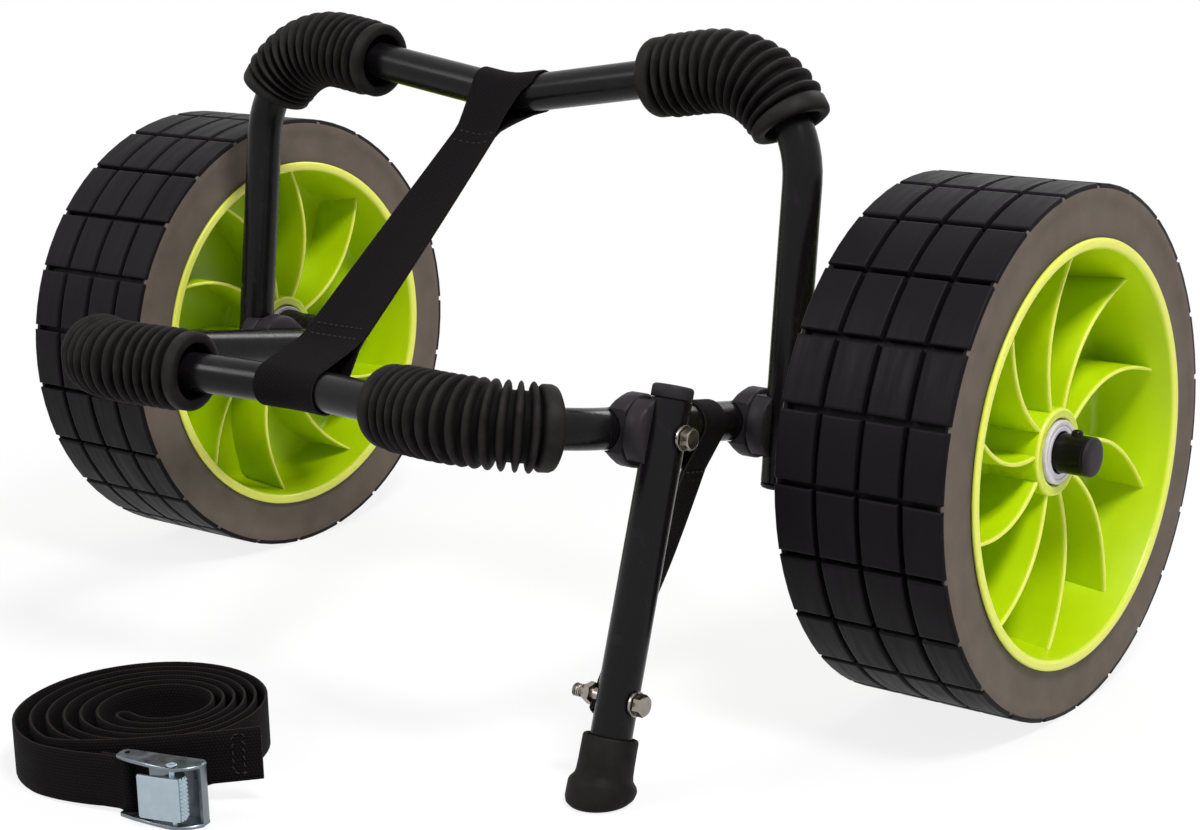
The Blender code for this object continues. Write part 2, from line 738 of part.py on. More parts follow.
def hub_mesh():
    """The hub's outside, bored for the axle and counterbored for a bush at each end."""
    half = HUB_LENGTH / 2
    axle = (TUBE_RADIUS + HUB_BORE_PLAY) / math.cos(math.pi / TUBE_SIDES)
    pocket = (BUSH_RADIUS + GAP) / math.cos(math.pi / TUBE_SIDES)
    floor = half - BUSH_LENGTH
    profile = [
        (-half, HUB_RADIUS - HUB_DRAFT),
        (0, HUB_RADIUS),
        (half, HUB_RADIUS - HUB_DRAFT),
        (half, pocket),
        (floor, pocket),
        (floor, axle),
        (-floor, axle),
        (-floor, pocket),
        (-half, pocket),
    ]
    return lathe(profile, TUBE_SIDES)


def rib_meshes(phase, hand):
    """The curved ribs through the web, from the hub to the barrel on both sides."""
    mesh = bmesh.new()
    start = HUB_RADIUS - HUB_DRAFT - RIB_INTO_HUB
    end = RIM_SEAT_RADIUS - RIM_WALL + RIB_INTO_BARREL
    half_hub = HUB_LENGTH / 2 - RIB_INTO_HUB
    half_rim = RIM_WIDTH / 2 - RIB_DROP_AT_RIM
    for rib in range(RIB_COUNT):
        loops = []
        for step in range(RIB_STEPS + 1):
            along = step / RIB_STEPS
            radius = start + (end - start) * along
            bow = RIB_BOW * math.sin(math.pi * along) / radius
            angle = phase + math.tau * rib / RIB_COUNT + hand * (RIB_SWEEP * (1 - along) + bow)
            half = half_hub + (half_rim - half_hub) * along
            thick = RIB_THICKNESS / 2 / radius
            corners = ((half, thick), (-half, thick), (-half, -thick), (half, -thick))
            loops.append(ring_loop(mesh, [around_x(x, radius, angle + offset) for x, offset in corners]))
        skin_loops(mesh, loops)
        mesh.faces.new(loops[0])
        mesh.faces.new(loops[-1])
    return mesh


def bush_mesh(side):
    """A flanged sleeve pressed into the hub's end."""
    half = HUB_LENGTH / 2
    bore = (TUBE_RADIUS + RUNNING_GAP) / math.cos(math.pi / TUBE_SIDES)
    body = BUSH_RADIUS * math.cos(math.pi / TUBE_SIDES) - GAP
    deep = half - BUSH_LENGTH + GAP
    profile = [
        (side * deep, bore),
        (side * (half + GAP + BUSH_FLANGE), bore),
        (side * (half + GAP + BUSH_FLANGE), body),
        (side * deep, body),
    ]
    return lathe(profile, TUBE_SIDES)


def wheel(parts, surfaces, axle, name, tread_phase, rib_phase, hand):
    """A wheel on its axle's empty. The ribs of the two wheels lean opposite ways."""
    parts.append(add_piece(name + "_tyre", tyre_mesh(tread_phase), surfaces["tyre"], axle))
    rim = add_piece(name + "_rim", rim_body(), surfaces["rim"], axle)
    combine(rim, hub_mesh(), name + "_hub", "UNION")
    combine(rim, rib_meshes(rib_phase, hand), name + "_ribs", "UNION")
    parts.append(rim)
    for side, end in ((-1, "left"), (1, "right")):
        parts.append(add_piece(name + "_bush_" + end, bush_mesh(side), surfaces["bush"], axle))


# Kickstand
def kickstand(parts, surfaces, parent, bottom):
    top = KICK_ABOVE_PIVOT - KICK_CAP_HEAD
    path = [Vector((0, 0, bottom)), Vector((0, 0, top))]
    mesh = hollow_tube(path, TUBE_RADIUS, TUBE_RADIUS - TUBE_WALL, (1, 0, 0), TUBE_SIDES)
    tube = add_piece("kickstand_tube", mesh, surfaces["steel"], parent)
    beyond = TUBE_RADIUS * 2
    cut(tube, cross_hole(-beyond, beyond, 0, 0, BOLT_RADIUS + GAP), "kick_pivot_hole")
    cut(tube, cross_hole(-beyond, beyond, 0, -KICK_BOLT_DISTANCE, BOLT_RADIUS + GAP), "kick_bolt_hole")
    parts.append(tube)
    cap = tube_plug(KICK_CAP_HEAD, TUBE_PLUG_STEM)
    parts.append(add_piece("kickstand_cap", cap, surfaces["plastic"], parent, (0, 0, top), (math.pi, 0, 0)))


def foot(parts, surfaces, parent, bottom):
    """A rubber ferrule on the kickstand tube, cut level with the ground."""
    bore = (TUBE_RADIUS + GAP) / math.cos(math.pi / TUBE_SIDES)
    rim = bottom - FOOT_SOLE + FOOT_HEIGHT
    low = bottom - FOOT_SOLE - 2 * FOOT_FLARE_RADIUS * math.tan(KICK_LEAN)
    flare_top = bottom - FOOT_SOLE + FOOT_FLARE_HEIGHT
    profile = [
        (low, 0),
        (low, FOOT_FLARE_RADIUS),
        (flare_top - FOOT_EDGE, FOOT_FLARE_RADIUS),
        (flare_top, FOOT_FLARE_RADIUS - FOOT_EDGE),
        (flare_top + FOOT_EDGE, FOOT_TOP_RADIUS),
        (rim - FOOT_EDGE, FOOT_TOP_RADIUS),
        (rim, FOOT_TOP_RADIUS - FOOT_EDGE),
        (rim, bore),
        (bottom - GAP, bore),
        (bottom - GAP, 0),
    ]
    mesh = lathe(profile, TUBE_SIDES, axis="Z")
    piece = add_piece("kickstand_foot", mesh, surfaces["rubber"], parent)
    slab = bmesh.new()
    bmesh.ops.create_cube(slab, size=4 * FOOT_FLARE_RADIUS)
    bmesh.ops.translate(slab, verts=slab.verts, vec=(0, 0, -2 * FOOT_FLARE_RADIUS))
    bmesh.ops.rotate(slab, verts=slab.verts, matrix=Matrix.Rotation(KICK_LEAN, 3, "X"))
    bmesh.ops.translate(slab, verts=slab.verts, vec=(0, 0, bottom - FOOT_SOLE))
    cut(piece, slab, "ground_cut")
    parts.append(piece)


# Snap buttons and their leaf springs
def snap_buttons(parts, surfaces, parent):
    bore = (TUBE_RADIUS - TUBE_WALL) * math.cos(math.pi / TUBE_SIDES)
    for side, name in ((-1, "left"), (1, "right")):
        x = side * (AXLE_HALF_LENGTH - BUTTON_FROM_END)
        flange_top = math.sqrt(bore ** 2 - BUTTON_FLANGE_RADIUS ** 2) - RUNNING_GAP
        profile = [
            (flange_top - BUTTON_FLANGE, 0),
            (flange_top - BUTTON_FLANGE, BUTTON_FLANGE_RADIUS),
            (flange_top, BUTTON_FLANGE_RADIUS),
            (flange_top, BUTTON_RADIUS),
            (TUBE_RADIUS + BUTTON_PROUD - BUTTON_EDGE, BUTTON_RADIUS),
            (TUBE_RADIUS + BUTTON_PROUD, BUTTON_RADIUS - BUTTON_EDGE),
            (TUBE_RADIUS + BUTTON_PROUD, 0),
        ]
        button = lathe(profile, 12, axis="Z")
        parts.append(add_piece("snap_button_" + name, button, surfaces["zinc"], parent, (x, 0, 0)))
        upper = flange_top - BUTTON_FLANGE - GAP
        lower = -bore + SPRING_LIFT
        inboard = x - side * SPRING_LENGTH
        outline = [
            (x + side * SPRING_PAD, upper),
            (x - side * (SPRING_PAD + SPRING_LEAF), upper),
            (inboard, lower + SPRING_HEEL),
            (inboard, lower),
            (x, lower),
            (x, lower + SPRING_LEAF),
            (inboard + side * SPRING_LEAF, lower + SPRING_LEAF),
            (inboard + side * SPRING_LEAF * 1.5, lower + SPRING_HEEL),
            (x - side * SPRING_PAD, upper - SPRING_LEAF),
            (x + side * SPRING_PAD, upper - SPRING_LEAF),
        ]
        mesh = bmesh.new()
        near = ring_loop(mesh, [(px, -SPRING_WIDTH / 2, pz) for px, pz in outline])
        far = ring_loop(mesh, [(px, SPRING_WIDTH / 2, pz) for px, pz in outline])
        skin_loops(mesh, [near, far])
        mesh.faces.new(near)
        mesh.faces.new(far)
        parts.append(add_piece("button_spring_" + name, mesh, surfaces["zinc"], parent))


def axle_spacers(parts, surfaces, parent):
    """Sleeves between each bend and its wheel's inner bush."""
    for side, name in ((-1, "left"), (1, "right")):
        wheel_face = WHEEL_TRACK / 2 - HUB_LENGTH / 2 - BUSH_FLANGE - 2 * GAP
        bend_end = ARM_X + AXLE_BEND_RADIUS + GAP
        bore = (TUBE_RADIUS + GAP) / math.cos(math.pi / TUBE_SIDES)
        profile = [
            (side * bend_end, bore),
            (side * wheel_face, bore),
            (side * wheel_face, SPACER_RADIUS),
            (side * bend_end, SPACER_RADIUS),
        ]
        sleeve = lathe(profile, TUBE_SIDES)
        parts.append(add_piece("axle_spacer_" + name, sleeve, surfaces["plastic"], parent))


# Straps on the cart
def loft_sections(sections, holes):
    """Skin outer outlines given at successive stations, and the holes that run through them."""
    mesh = bmesh.new()
    outer_loops = [ring_loop(mesh, section) for section in sections]
    skin_loops(mesh, outer_loops)
    hole_loops = []
    for hole in holes:
        loops = [ring_loop(mesh, section) for section in hole]
        skin_loops(mesh, loops)
        hole_loops.append(loops)
    for end in (0, -1):
        edges = []
        for loops in [outer_loops] + hole_loops:
            ring = loops[end]
            for i in range(len(ring)):
                edges.append(mesh.edges.get((ring[i], ring[(i + 1) % len(ring)])))
        bmesh.ops.triangle_fill(mesh, use_beauty=True, use_dissolve=False, edges=edges)
    return mesh


def arc_points(centre, radius, start, turn, steps):
    points = []
    for i in range(steps + 1):
        angle = start + turn * i / steps
        points.append((centre[0] + radius * math.cos(angle), centre[1] + radius * math.sin(angle)))
    return points


def crossbar_point(path, x):
    """The point of a crossbar's centre line at x, which is near the middle of the path."""
    for a, b in zip(path, path[1:]):
        if a.x <= x <= b.x and b.x > a.x and max(abs(a.x), abs(b.x)) < ARM_X - CORNER_RADIUS / 2:
            return a.lerp(b, (x - a.x) / (b.x - a.x))
    raise ValueError("no crossbar at this x")


def spreader_strap(parts, surfaces, parent, rear_pivot):
    """Two sleeves round the crossbars and a double band between them, in root space."""
    fine_front = front_path(FINE_STEPS, FINE_STEPS)
    fine_rear = rear_path(FINE_STEPS, FINE_STEPS)
    arm = Vector((-math.cos(ARM_RISE), math.sin(ARM_RISE)))
    leg = Vector((math.sin(LEG_LEAN), math.cos(LEG_LEAN)))
    inner = (TUBE_RADIUS + GAP) / math.cos(math.pi / SLEEVE_SIDES)
    outer = inner + WEB_TAPE
    half_band = WEB_TAPE
    sections, front_holes, rear_holes = [], [], []
    for x in (-SPREADER_WIDTH / 2, -SPREADER_WIDTH / 6, SPREADER_WIDTH / 6, SPREADER_WIDTH / 2):
        front = arm * -crossbar_point(fine_front, x).y
        rear = Vector(rear_pivot[1:]) + leg * crossbar_point(fine_rear, x).z
        line = rear - front
        heading = math.atan2(line.y, line.x)
        spread = math.asin(half_band / outer)
        turn = math.tau - 2 * spread
        outline = arc_points(front, outer, heading + spread, turn, SLEEVE_SIDES - 1)
        outline += arc_points(rear, outer, heading + math.pi + spread, turn, SLEEVE_SIDES - 1)
        sections.append([(x, y, z) for y, z in outline])
        for holes, centre in ((front_holes, front), (rear_holes, rear)):
            ring = arc_points(centre, inner, heading, HOLE_TURN, SLEEVE_SIDES - 1)
            holes.append([(x, y, z) for y, z in ring])
    mesh = loft_sections(sections, [front_holes, rear_holes])
    parts.append(add_piece("spreader_strap", mesh, surfaces["webbing"], parent))


def limiter_strap(parts, surfaces, parent, kick_tilt):
    """A sleeve round the arm and a band down to the kickstand's cross bolt, in the front
    frame's space."""
    inner = (TUBE_RADIUS + GAP) / math.cos(math.pi / SLEEVE_SIDES)
    outer = inner + WEB_TAPE
    half = WEB_TAPE
    band_half = half - LIMITER_STEP
    spread = math.asin(half / outer)
    down = -math.pi / 2
    sections, holes = [], []
    for along in (-LIMITER_WIDTH / 2, LIMITER_WIDTH / 2):
        y = -LIMITER_LOOP_DISTANCE + along
        outline = arc_points((ARM_X, 0), outer, down + spread, math.tau - 2 * spread, SLEEVE_SIDES - 1)
        foot_z = -outer - LIMITER_SEAM
        outline += [(ARM_X - half, foot_z), (ARM_X + half, foot_z)]
        sections.append([(px, y, pz) for px, pz in outline])
        ring = arc_points((ARM_X, 0), inner, down, HOLE_TURN, SLEEVE_SIDES - 1)
        holes.append([(px, y, pz) for px, pz in ring])
    mesh = loft_sections(sections, [holes])
    strap = add_piece("limiter_strap", mesh, surfaces["webbing"], parent)
    band = bmesh.new()
    bolt = Vector((LEG_X - TUBE_RADIUS - GAP - WEB_TAPE, -KICK_DISTANCE, 0))
    bolt.y += -KICK_BOLT_DISTANCE * math.sin(kick_tilt)
    bolt.z += -KICK_BOLT_DISTANCE * math.cos(kick_tilt)
    top = Vector((ARM_X, -LIMITER_LOOP_DISTANCE, -outer - LIMITER_SEAM + LIMITER_OVERLAP))
    heading = bolt - top
    heading.x = 0
    heading.normalize()
    half_width = LIMITER_WIDTH / 2
    wide = Vector((0, -heading.z, heading.y)) * half_width
    tucked_in = Vector((0, half_width - LIMITER_TUCK, 0))
    thick = Vector((band_half, 0, 0))
    end = bolt + heading * LIMITER_TIP
    near_bolt = bolt - heading * half_width
    loops = []
    for centre, width in ((top, tucked_in), (near_bolt, wide), (end, wide)):
        corners = (width + thick, thick - width, -width - thick, width - thick)
        loops.append(ring_loop(band, [centre + corner for corner in corners]))
    skin_loops(band, loops)
    band.faces.new(loops[0])
    band.faces.new(loops[-1])
    combine(strap, band, "limiter_band", "UNION")
    cut(strap, cross_hole(bolt.x - 4 * half, bolt.x + 4 * half, bolt.y, bolt.z, BOLT_RADIUS + GAP), "eyelet")
    parts.append(strap)


# Tie-down strap, folded in half and rolled up from the fold, so both its ends lie outside
def roll_point(turns, layer):
    """A point of one strand. Layer 0 is the inner strand and 1 the outer one beside it."""
    angle = ROLL_END_ANGLE + math.tau * (turns - ROLL_TURNS)
    grow = ROLL_STEP * (2 * turns + layer)
    x = ROLL_CENTRE[0] + (ROLL_INNER[0] + grow) * math.cos(angle)
    y = ROLL_CENTRE[1] + (ROLL_INNER[1] + grow) * math.sin(angle)
    return Vector((x, y))


def bezier(points, steps):
    """Points after the first one along a cubic curve."""
    a, b, c, d = (Vector(point) for point in points)
    curve = []
    for i in range(1, steps + 1):
        t = i / steps
        u = 1 - t
        curve.append(a * u ** 3 + b * 3 * u * u * t + c * 3 * u * t * t + d * t ** 3)
    return curve


def roll_route():
    """The tape's centre line as (x, y, lift) from its tail's end to the loop round the buckle's bar."""
    count = round(ROLL_TURNS * POINTS_PER_TURN)
    inner = [roll_point(ROLL_TURNS * i / count, 0) for i in range(count + 1)]
    outer = [roll_point(ROLL_TURNS * i / count, 1) for i in range(count + 1)]
    leave = (inner[-1] - inner[-2]).normalized()
    tail = bezier((inner[-1], inner[-1] + leave * TAIL_RUN, TAIL_BEND, TAIL_END), TAIL_STEPS)
    along = Vector((math.cos(BUCKLE_TURN), math.sin(BUCKLE_TURN)))
    aside = Vector((-along.y, along.x))
    bar = Vector(BUCKLE_SPOT) + along * BAR_OFFSET[0] + aside * BAR_OFFSET[1]
    loop = BUCKLE_PIN_RADIUS + GAP + TAPE_THICKNESS / 2
    seam = bar - along * LOOP_LENGTH - aside * LOOP_SEAM / 2
    leave = (outer[-1] - outer[-2]).normalized()
    lead = bezier((outer[-1], outer[-1] + leave * LEAD_RUN, seam - along * LEAD_END_RUN, seam), LEAD_STEPS)
    around = []
    for i in range(LOOP_STEPS + 1):
        angle = LOOP_HALF_TURN * (2 * i / LOOP_STEPS - 1)
        around.append(bar + (along * math.cos(angle) + aside * math.sin(angle)) * loop)
    neck = -along * LOOP_LENGTH * LOOP_NECK
    into = [bar + neck - aside * LOOP_SEAM / 2]
    flap = [bar + neck + aside * LOOP_SEAM / 2, bar - along * LOOP_LENGTH + aside * LOOP_SEAM / 2]
    middle = (inner[0] + outer[0]) / 2
    back = (inner[0] - inner[1]).normalized()
    across = (inner[0] - outer[0]) / 2
    fold = []
    for i in range(1, FOLD_STEPS):
        angle = math.pi * i / FOLD_STEPS
        fold.append(middle + across * math.cos(angle) + back * across.length * FOLD_REACH * math.sin(angle))
    rising = [TAIL_LIFT * (len(tail) - i) / len(tail) for i in range(len(tail))]
    lying = [0.0] * (len(inner) + len(fold) + len(outer))
    lifted = [BUCKLE_LIFT * (i + 1) / len(lead) for i in range(len(lead))]
    sewn = into + around + flap
    flat = tail[::-1] + inner[::-1] + fold + outer + lead + sewn
    lifts = rising + lying + lifted + [BUCKLE_LIFT] * len(sewn)
    return [Vector((x, y, lift)) for (x, y), lift in zip(flat, lifts)]


def least_gap(points):
    """The least distance between the tape's faces in neighbouring layers."""
    least = math.inf
    apart = POINTS_PER_TURN // 2
    flat = [point.xy for point in points]
    for i, here in enumerate(flat):
        for j in range(i + apart, len(flat) - 1):
            edge = flat[j + 1] - flat[j]
            along = max(0.0, min(1.0, (here - flat[j]).dot(edge) / edge.length_squared))
            least = min(least, (flat[j] + edge * along - here).length)
    return least - TAPE_THICKNESS


def tie_down_tape(parts, surfaces, parent):
    points = roll_route()
    print("least gap between the rolled tape's layers, mm:", round(least_gap(points) / MM, 2))
    mesh = bmesh.new()
    loops = []
    for here, tangent in zip(points, path_tangents([point.xy.to_3d() for point in points])):
        side = Vector((tangent.y, -tangent.x, 0)) * TAPE_THICKNESS / 2
        up = Vector((0, 0, TAPE_WIDTH))
        loops.append(ring_loop(mesh, [here + side, here + side + up, here - side + up, here - side]))
    skin_loops(mesh, loops)
    mesh.faces.new(loops[0])
    mesh.faces.new(loops[-1])
    parts.append(add_piece("tie_down_tape", mesh, surfaces["webbing"], parent))


# Cam buckle, standing on its edge: X along the tape, Z across it, -Y towards the front
def buckle_frame(parts, surfaces, parent):
    """A channel of folded sheet whose side walls run on past the floor to hold the tape's bar."""
    wall = BUCKLE_WALL
    low = -BUCKLE_INSIDE / 2 - wall
    high = BUCKLE_INSIDE / 2 + wall
    back = BUCKLE_BACK
    swell = CAM_RADIUS - CAM_TOOTH
    stations = (
        (-BUCKLE_LEFT, BUCKLE_TIP),
        (-2 * swell, -BUCKLE_SHOULDER),
        (-swell / 2, -BUCKLE_FRONT),
        (swell / 2, -BUCKLE_FRONT),
        (BUCKLE_RIGHT, BUCKLE_TIP),
    )
    mesh = bmesh.new()
    loops = []
    for x, front in stations:
        loops.append(ring_loop(mesh, [
            (x, back, low), (x, front, low), (x, front, low + wall), (x, back - wall, low + wall),
            (x, back - wall, high - wall), (x, front, high - wall), (x, front, high), (x, back, high)]))
    skin_loops(mesh, loops)
    mesh.faces.new(loops[0])
    mesh.faces.new(loops[-1])
    frame = add_piece("cam_buckle_frame", mesh, surfaces["zinc"], parent)
    gap = bmesh.new()
    bmesh.ops.create_cube(gap, size=1.0)
    open_length = BUCKLE_LEFT - BUCKLE_FLOOR_LEFT
    bmesh.ops.scale(gap, verts=gap.verts, vec=(2 * open_length, 3 * wall, BUCKLE_INSIDE))
    bmesh.ops.translate(gap, verts=gap.verts, vec=(-BUCKLE_LEFT, back, 0))
    cut(frame, gap, "floor_end")
    reach = BUCKLE_INSIDE
    for name, spot in (("pin_hole", (0, 0)), ("bar_hole", BAR_OFFSET)):
        hole = BUCKLE_PIN_RADIUS + BOLT_PLAY
        drill = lathe([(-reach, 0), (-reach, hole), (reach, hole), (reach, 0)], 10, axis="Z")
        bmesh.ops.translate(drill, verts=drill.verts, vec=(*spot, 0))
        cut(frame, drill, name)
    parts.append(frame)


def buckle_pins(parts, surfaces, parent):
    half = BUCKLE_INSIDE / 2 + BUCKLE_WALL
    radius = BUCKLE_PIN_RADIUS * math.cos(math.pi / 10)
    head = BUCKLE_PIN_RADIUS + BUCKLE_HEAD
    profile = [
        (-half, 0),
        (-half, radius),
        (half + GAP, radius),
        (half + GAP, head),
        (half + GAP + BUCKLE_HEAD, head - BUCKLE_HEAD / 2),
        (half + GAP + BUCKLE_HEAD, 0),
    ]
    parts.append(add_piece("cam_buckle_pin", lathe(profile, 10, axis="Z"), surfaces["zinc"], parent))
    bar = [(-half, 0), (-half, radius), (half, radius), (half, 0)]
    parts.append(add_piece("cam_buckle_bar", lathe(bar, 10, axis="Z"), surfaces["zinc"], parent,
                           (*BAR_OFFSET, 0)))


def buckle_lever(parts, surfaces, parent):
    """A toothed cam round the pin, with a thumb plate towards the tape's bar."""
    outline = []
    for i in range(CAM_TEETH * 2 + 1):
        angle = CAM_FIRST_ANGLE + CAM_SWEEP * i / (CAM_TEETH * 2)
        radius = CAM_RADIUS if i % 2 == 0 else CAM_RADIUS - CAM_TOOTH
        outline.append((radius * math.cos(angle), radius * math.sin(angle)))
    hub = CAM_RADIUS - 3 * CAM_TOOTH
    front = BUCKLE_FRONT + LEVER_PLATE
    outline += [
        (-hub * CAM_HEEL, hub * CAM_HEEL),
        (-hub, -front + 2 * LEVER_PLATE),
        (-LEVER_REACH, -front + LEVER_PLATE),
        (-LEVER_REACH, -front),
        (hub * CAM_TOE, -front),
        (CAM_RADIUS - CAM_TOOTH, -front + 1.5 * LEVER_PLATE),
    ]
    half = LEVER_WIDTH / 2
    bore = (BUCKLE_PIN_RADIUS + BOLT_PLAY) / math.cos(math.pi / 10)
    ring = [(bore * math.cos(math.tau * i / 10), bore * math.sin(math.tau * i / 10)) for i in range(10)]
    sections = [[(x, y, z) for x, y in outline] for z in (-half, half)]
    hole = [[(x, y, z) for x, y in ring] for z in (-half, half)]
    mesh = loft_sections(sections, [hole])
    parts.append(add_piece("cam_buckle_lever", mesh, surfaces["zinc"], parent))


def centre_on_origin(origin, parts):
    """Slide the whole model so that the cart, without its loose strap, is centred on Z."""
    bpy.context.view_layer.update()
    spots = [piece.matrix_world @ vertex.co for piece in parts for vertex in piece.data.vertices]
    for axis in (0, 1):
        values = [spot[axis] for spot in spots]
        origin.location[axis] = -(min(values) + max(values)) / 2


def build():
    remove_everything()
    surfaces = make_materials()
    parts = []
    origin = axis_empty("cart_origin")
    front = axis_empty("front_frame_plane", origin, (0, 0, TYRE_RADIUS), -ARM_RISE)
    pivot = Vector((0, -FOLD_PIVOT_DISTANCE * math.cos(ARM_RISE), FOLD_PIVOT_DISTANCE * math.sin(ARM_RISE)))
    pivot.z += TYRE_RADIUS
    rear = axis_empty("rear_frame_pivot", origin, pivot, -LEG_LEAN)
    kick_tilt = ARM_RISE - KICK_LEAN
    kick = axis_empty("kickstand_pivot", front, (LEG_X, -KICK_DISTANCE, 0), kick_tilt)
    left = axis_empty("left_wheel_axle", origin, (-WHEEL_TRACK / 2, 0, TYRE_RADIUS))
    right = axis_empty("right_wheel_axle", origin, (WHEEL_TRACK / 2, 0, TYRE_RADIUS))

    front_frame(parts, surfaces, front)
    rear_frame(parts, surfaces, rear)
    tube_plugs(parts, surfaces, front, rear)
    grips(parts, surfaces, front, rear)
    saddles(parts, surfaces, front, rear, kick)
    inner_face = ARM_X - TUBE_RADIUS
    outer_face = LEG_X + TUBE_RADIUS
    for side, name in ((-1, "left"), (1, "right")):
        fastener(parts, surfaces, front, "fold_" + name, side, (side * outer_face, side * inner_face),
                 (-FOLD_PIVOT_DISTANCE, 0), BOLT_TAIL)
    fastener(parts, surfaces, front, "kick_pivot", 1, (outer_face, inner_face),
             (-KICK_DISTANCE, 0), BOLT_TAIL)
    fastener(parts, surfaces, kick, "kick_cross", 1, (TUBE_RADIUS, -TUBE_RADIUS - GAP - 2 * WEB_TAPE),
             (0, -KICK_BOLT_DISTANCE), KICK_BOLT_TAIL)
    wheel(parts, surfaces, left, "left_wheel", LEFT_TREAD_PHASE, LEFT_RIB_PHASE, -1)
    wheel(parts, surfaces, right, "right_wheel", RIGHT_TREAD_PHASE, RIGHT_RIB_PHASE, 1)
    kick_height = TYRE_RADIUS + KICK_DISTANCE * math.sin(ARM_RISE)
    tube_bottom = FOOT_SOLE - kick_height / math.cos(KICK_LEAN)
    kickstand(parts, surfaces, kick, tube_bottom)
    foot(parts, surfaces, kick, tube_bottom)
    snap_buttons(parts, surfaces, front)
    axle_spacers(parts, surfaces, front)
    spreader_strap(parts, surfaces, axis_empty("strap_space", origin, (0, 0, TYRE_RADIUS)),
                   (0, pivot.y, pivot.z - TYRE_RADIUS))
    limiter_strap(parts, surfaces, front, -kick_tilt)
    centre_on_origin(origin, parts)
    tie_down_tape(parts, surfaces, origin)
    buckle = axis_empty("cam_buckle_axis", origin, (*BUCKLE_SPOT, BUCKLE_INSIDE / 2 + BUCKLE_WALL))
    buckle.rotation_euler.z = BUCKLE_TURN
    buckle_frame(parts, surfaces, buckle)
    buckle_pins(parts, surfaces, buckle)
    buckle_lever(parts, surfaces, buckle)


build()
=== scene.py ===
"""A folding paddleboard cart and its rolled tie-down strap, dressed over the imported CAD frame.

Metres, +Z up, +X to the cart's right, -Y to the front. It is laid out as an add-on and run as a
script: the panel in the sidebar lists the operator that makes each group of pieces.
"""

import math
from functools import cache
from itertools import product

import bmesh
import bpy
from mathutils import Matrix, Vector


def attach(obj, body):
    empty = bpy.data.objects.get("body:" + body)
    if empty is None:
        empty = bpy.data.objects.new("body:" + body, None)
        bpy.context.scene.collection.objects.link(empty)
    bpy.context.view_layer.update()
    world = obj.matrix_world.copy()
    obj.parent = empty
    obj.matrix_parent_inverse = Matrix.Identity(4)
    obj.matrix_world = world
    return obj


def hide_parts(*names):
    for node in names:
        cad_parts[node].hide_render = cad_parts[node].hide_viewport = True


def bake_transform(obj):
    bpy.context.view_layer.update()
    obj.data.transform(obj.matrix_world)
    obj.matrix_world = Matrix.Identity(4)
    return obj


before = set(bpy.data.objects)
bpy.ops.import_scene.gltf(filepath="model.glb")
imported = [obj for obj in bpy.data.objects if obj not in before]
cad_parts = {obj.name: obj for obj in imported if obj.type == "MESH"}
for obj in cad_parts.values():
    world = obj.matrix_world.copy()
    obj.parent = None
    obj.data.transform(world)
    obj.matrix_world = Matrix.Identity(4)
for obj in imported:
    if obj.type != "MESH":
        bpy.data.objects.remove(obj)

bl_info = {
    "name": "Paddleboard cart",
    "version": (1, 0, 0),
    "blender": (4, 5, 0),
    "location": "3D View > Sidebar > Cart",
    "description": "Makes a folding two-wheeled paddleboard cart with its rolled tie-down strap",
    "category": "Object",
}

MM = 0.001

# The planes of the two frames and the kickstand, as the CAD has them
ARM_RISE = math.radians(10)
LEG_LEAN = math.radians(8)
KICK_LEAN = math.radians(18.9)
AXLE = Vector((0, 0.059427, 0.127))
FOLD_PIVOT = Vector((0, -0.007835, 0.13886))
KICK_PIVOT = Vector((0.179, -0.102574, 0.155565))
BUCKLE_PLACE = Vector((0.0456, -0.284373, 0.0144))
BUCKLE_TURN = math.radians(16)
WHEEL_X = 0.2561
FRONT_PLANE = Matrix.Translation(AXLE) @ Matrix.Rotation(-ARM_RISE, 4, "X")
REAR_PLANE = Matrix.Translation(FOLD_PIVOT) @ Matrix.Rotation(-LEG_LEAN, 4, "X")
KICK_PLANE = Matrix.Translation(KICK_PIVOT) @ Matrix.Rotation(-KICK_LEAN, 4, "X")
BUCKLE_PLANE = Matrix.Translation(BUCKLE_PLACE) @ Matrix.Rotation(BUCKLE_TURN, 4, "Z")

# Tube routes
AXLE_HALF = 304.5 * MM
ARM_X = 155 * MM
ARM_LENGTH = 237 * MM
LEG_X = 179 * MM
LEG_HEIGHT = 173 * MM
LEG_BELOW = 27 * MM
DIP = 26 * MM
CORNER_BEND = 50 * MM
AXLE_BEND = 40 * MM
DIP_BEND = 60 * MM
FOLD_DISTANCE = 68.3 * MM
KICK_DISTANCE = 164.5 * MM
FOLD_BOLT = FRONT_PLANE @ Matrix.Translation((0, -FOLD_DISTANCE, 0))
KICK_BOLT = FRONT_PLANE @ Matrix.Translation((0, -KICK_DISTANCE, 0))
KICK_BOLT_DISTANCE = 119 * MM
KICK_TUBE_TOP = 16 * MM
KICK_TUBE_BOTTOM = -155.4 * MM
BEND_STEPS = 16
TUBE_SIDES = 32
# Plugs, spacers, the foot and the fasteners
TURNED_SIDES = 48

# Fasteners
BOLT_HEAD_WIDTH = 9 * MM
BOLT_HEAD_HEIGHT = 4.2 * MM
NUT_HEIGHT = 5.0 * MM
WASHER_RADIUS = 5.8 * MM
WASHER_THICKNESS = 1.2 * MM
GAP = 0.3 * MM

# Rolled strap, in the plane of the ground, with Y counted from the axle
TAPE_WIDTH = 25 * MM
TAPE_THICKNESS = 1.6 * MM
ROLL_CENTRE = (-29.5 * MM, -292 * MM)
ROLL_INNER = (17 * MM, 18 * MM)
ROLL_STEP = 6.3 * MM
ROLL_TURNS = 3.0
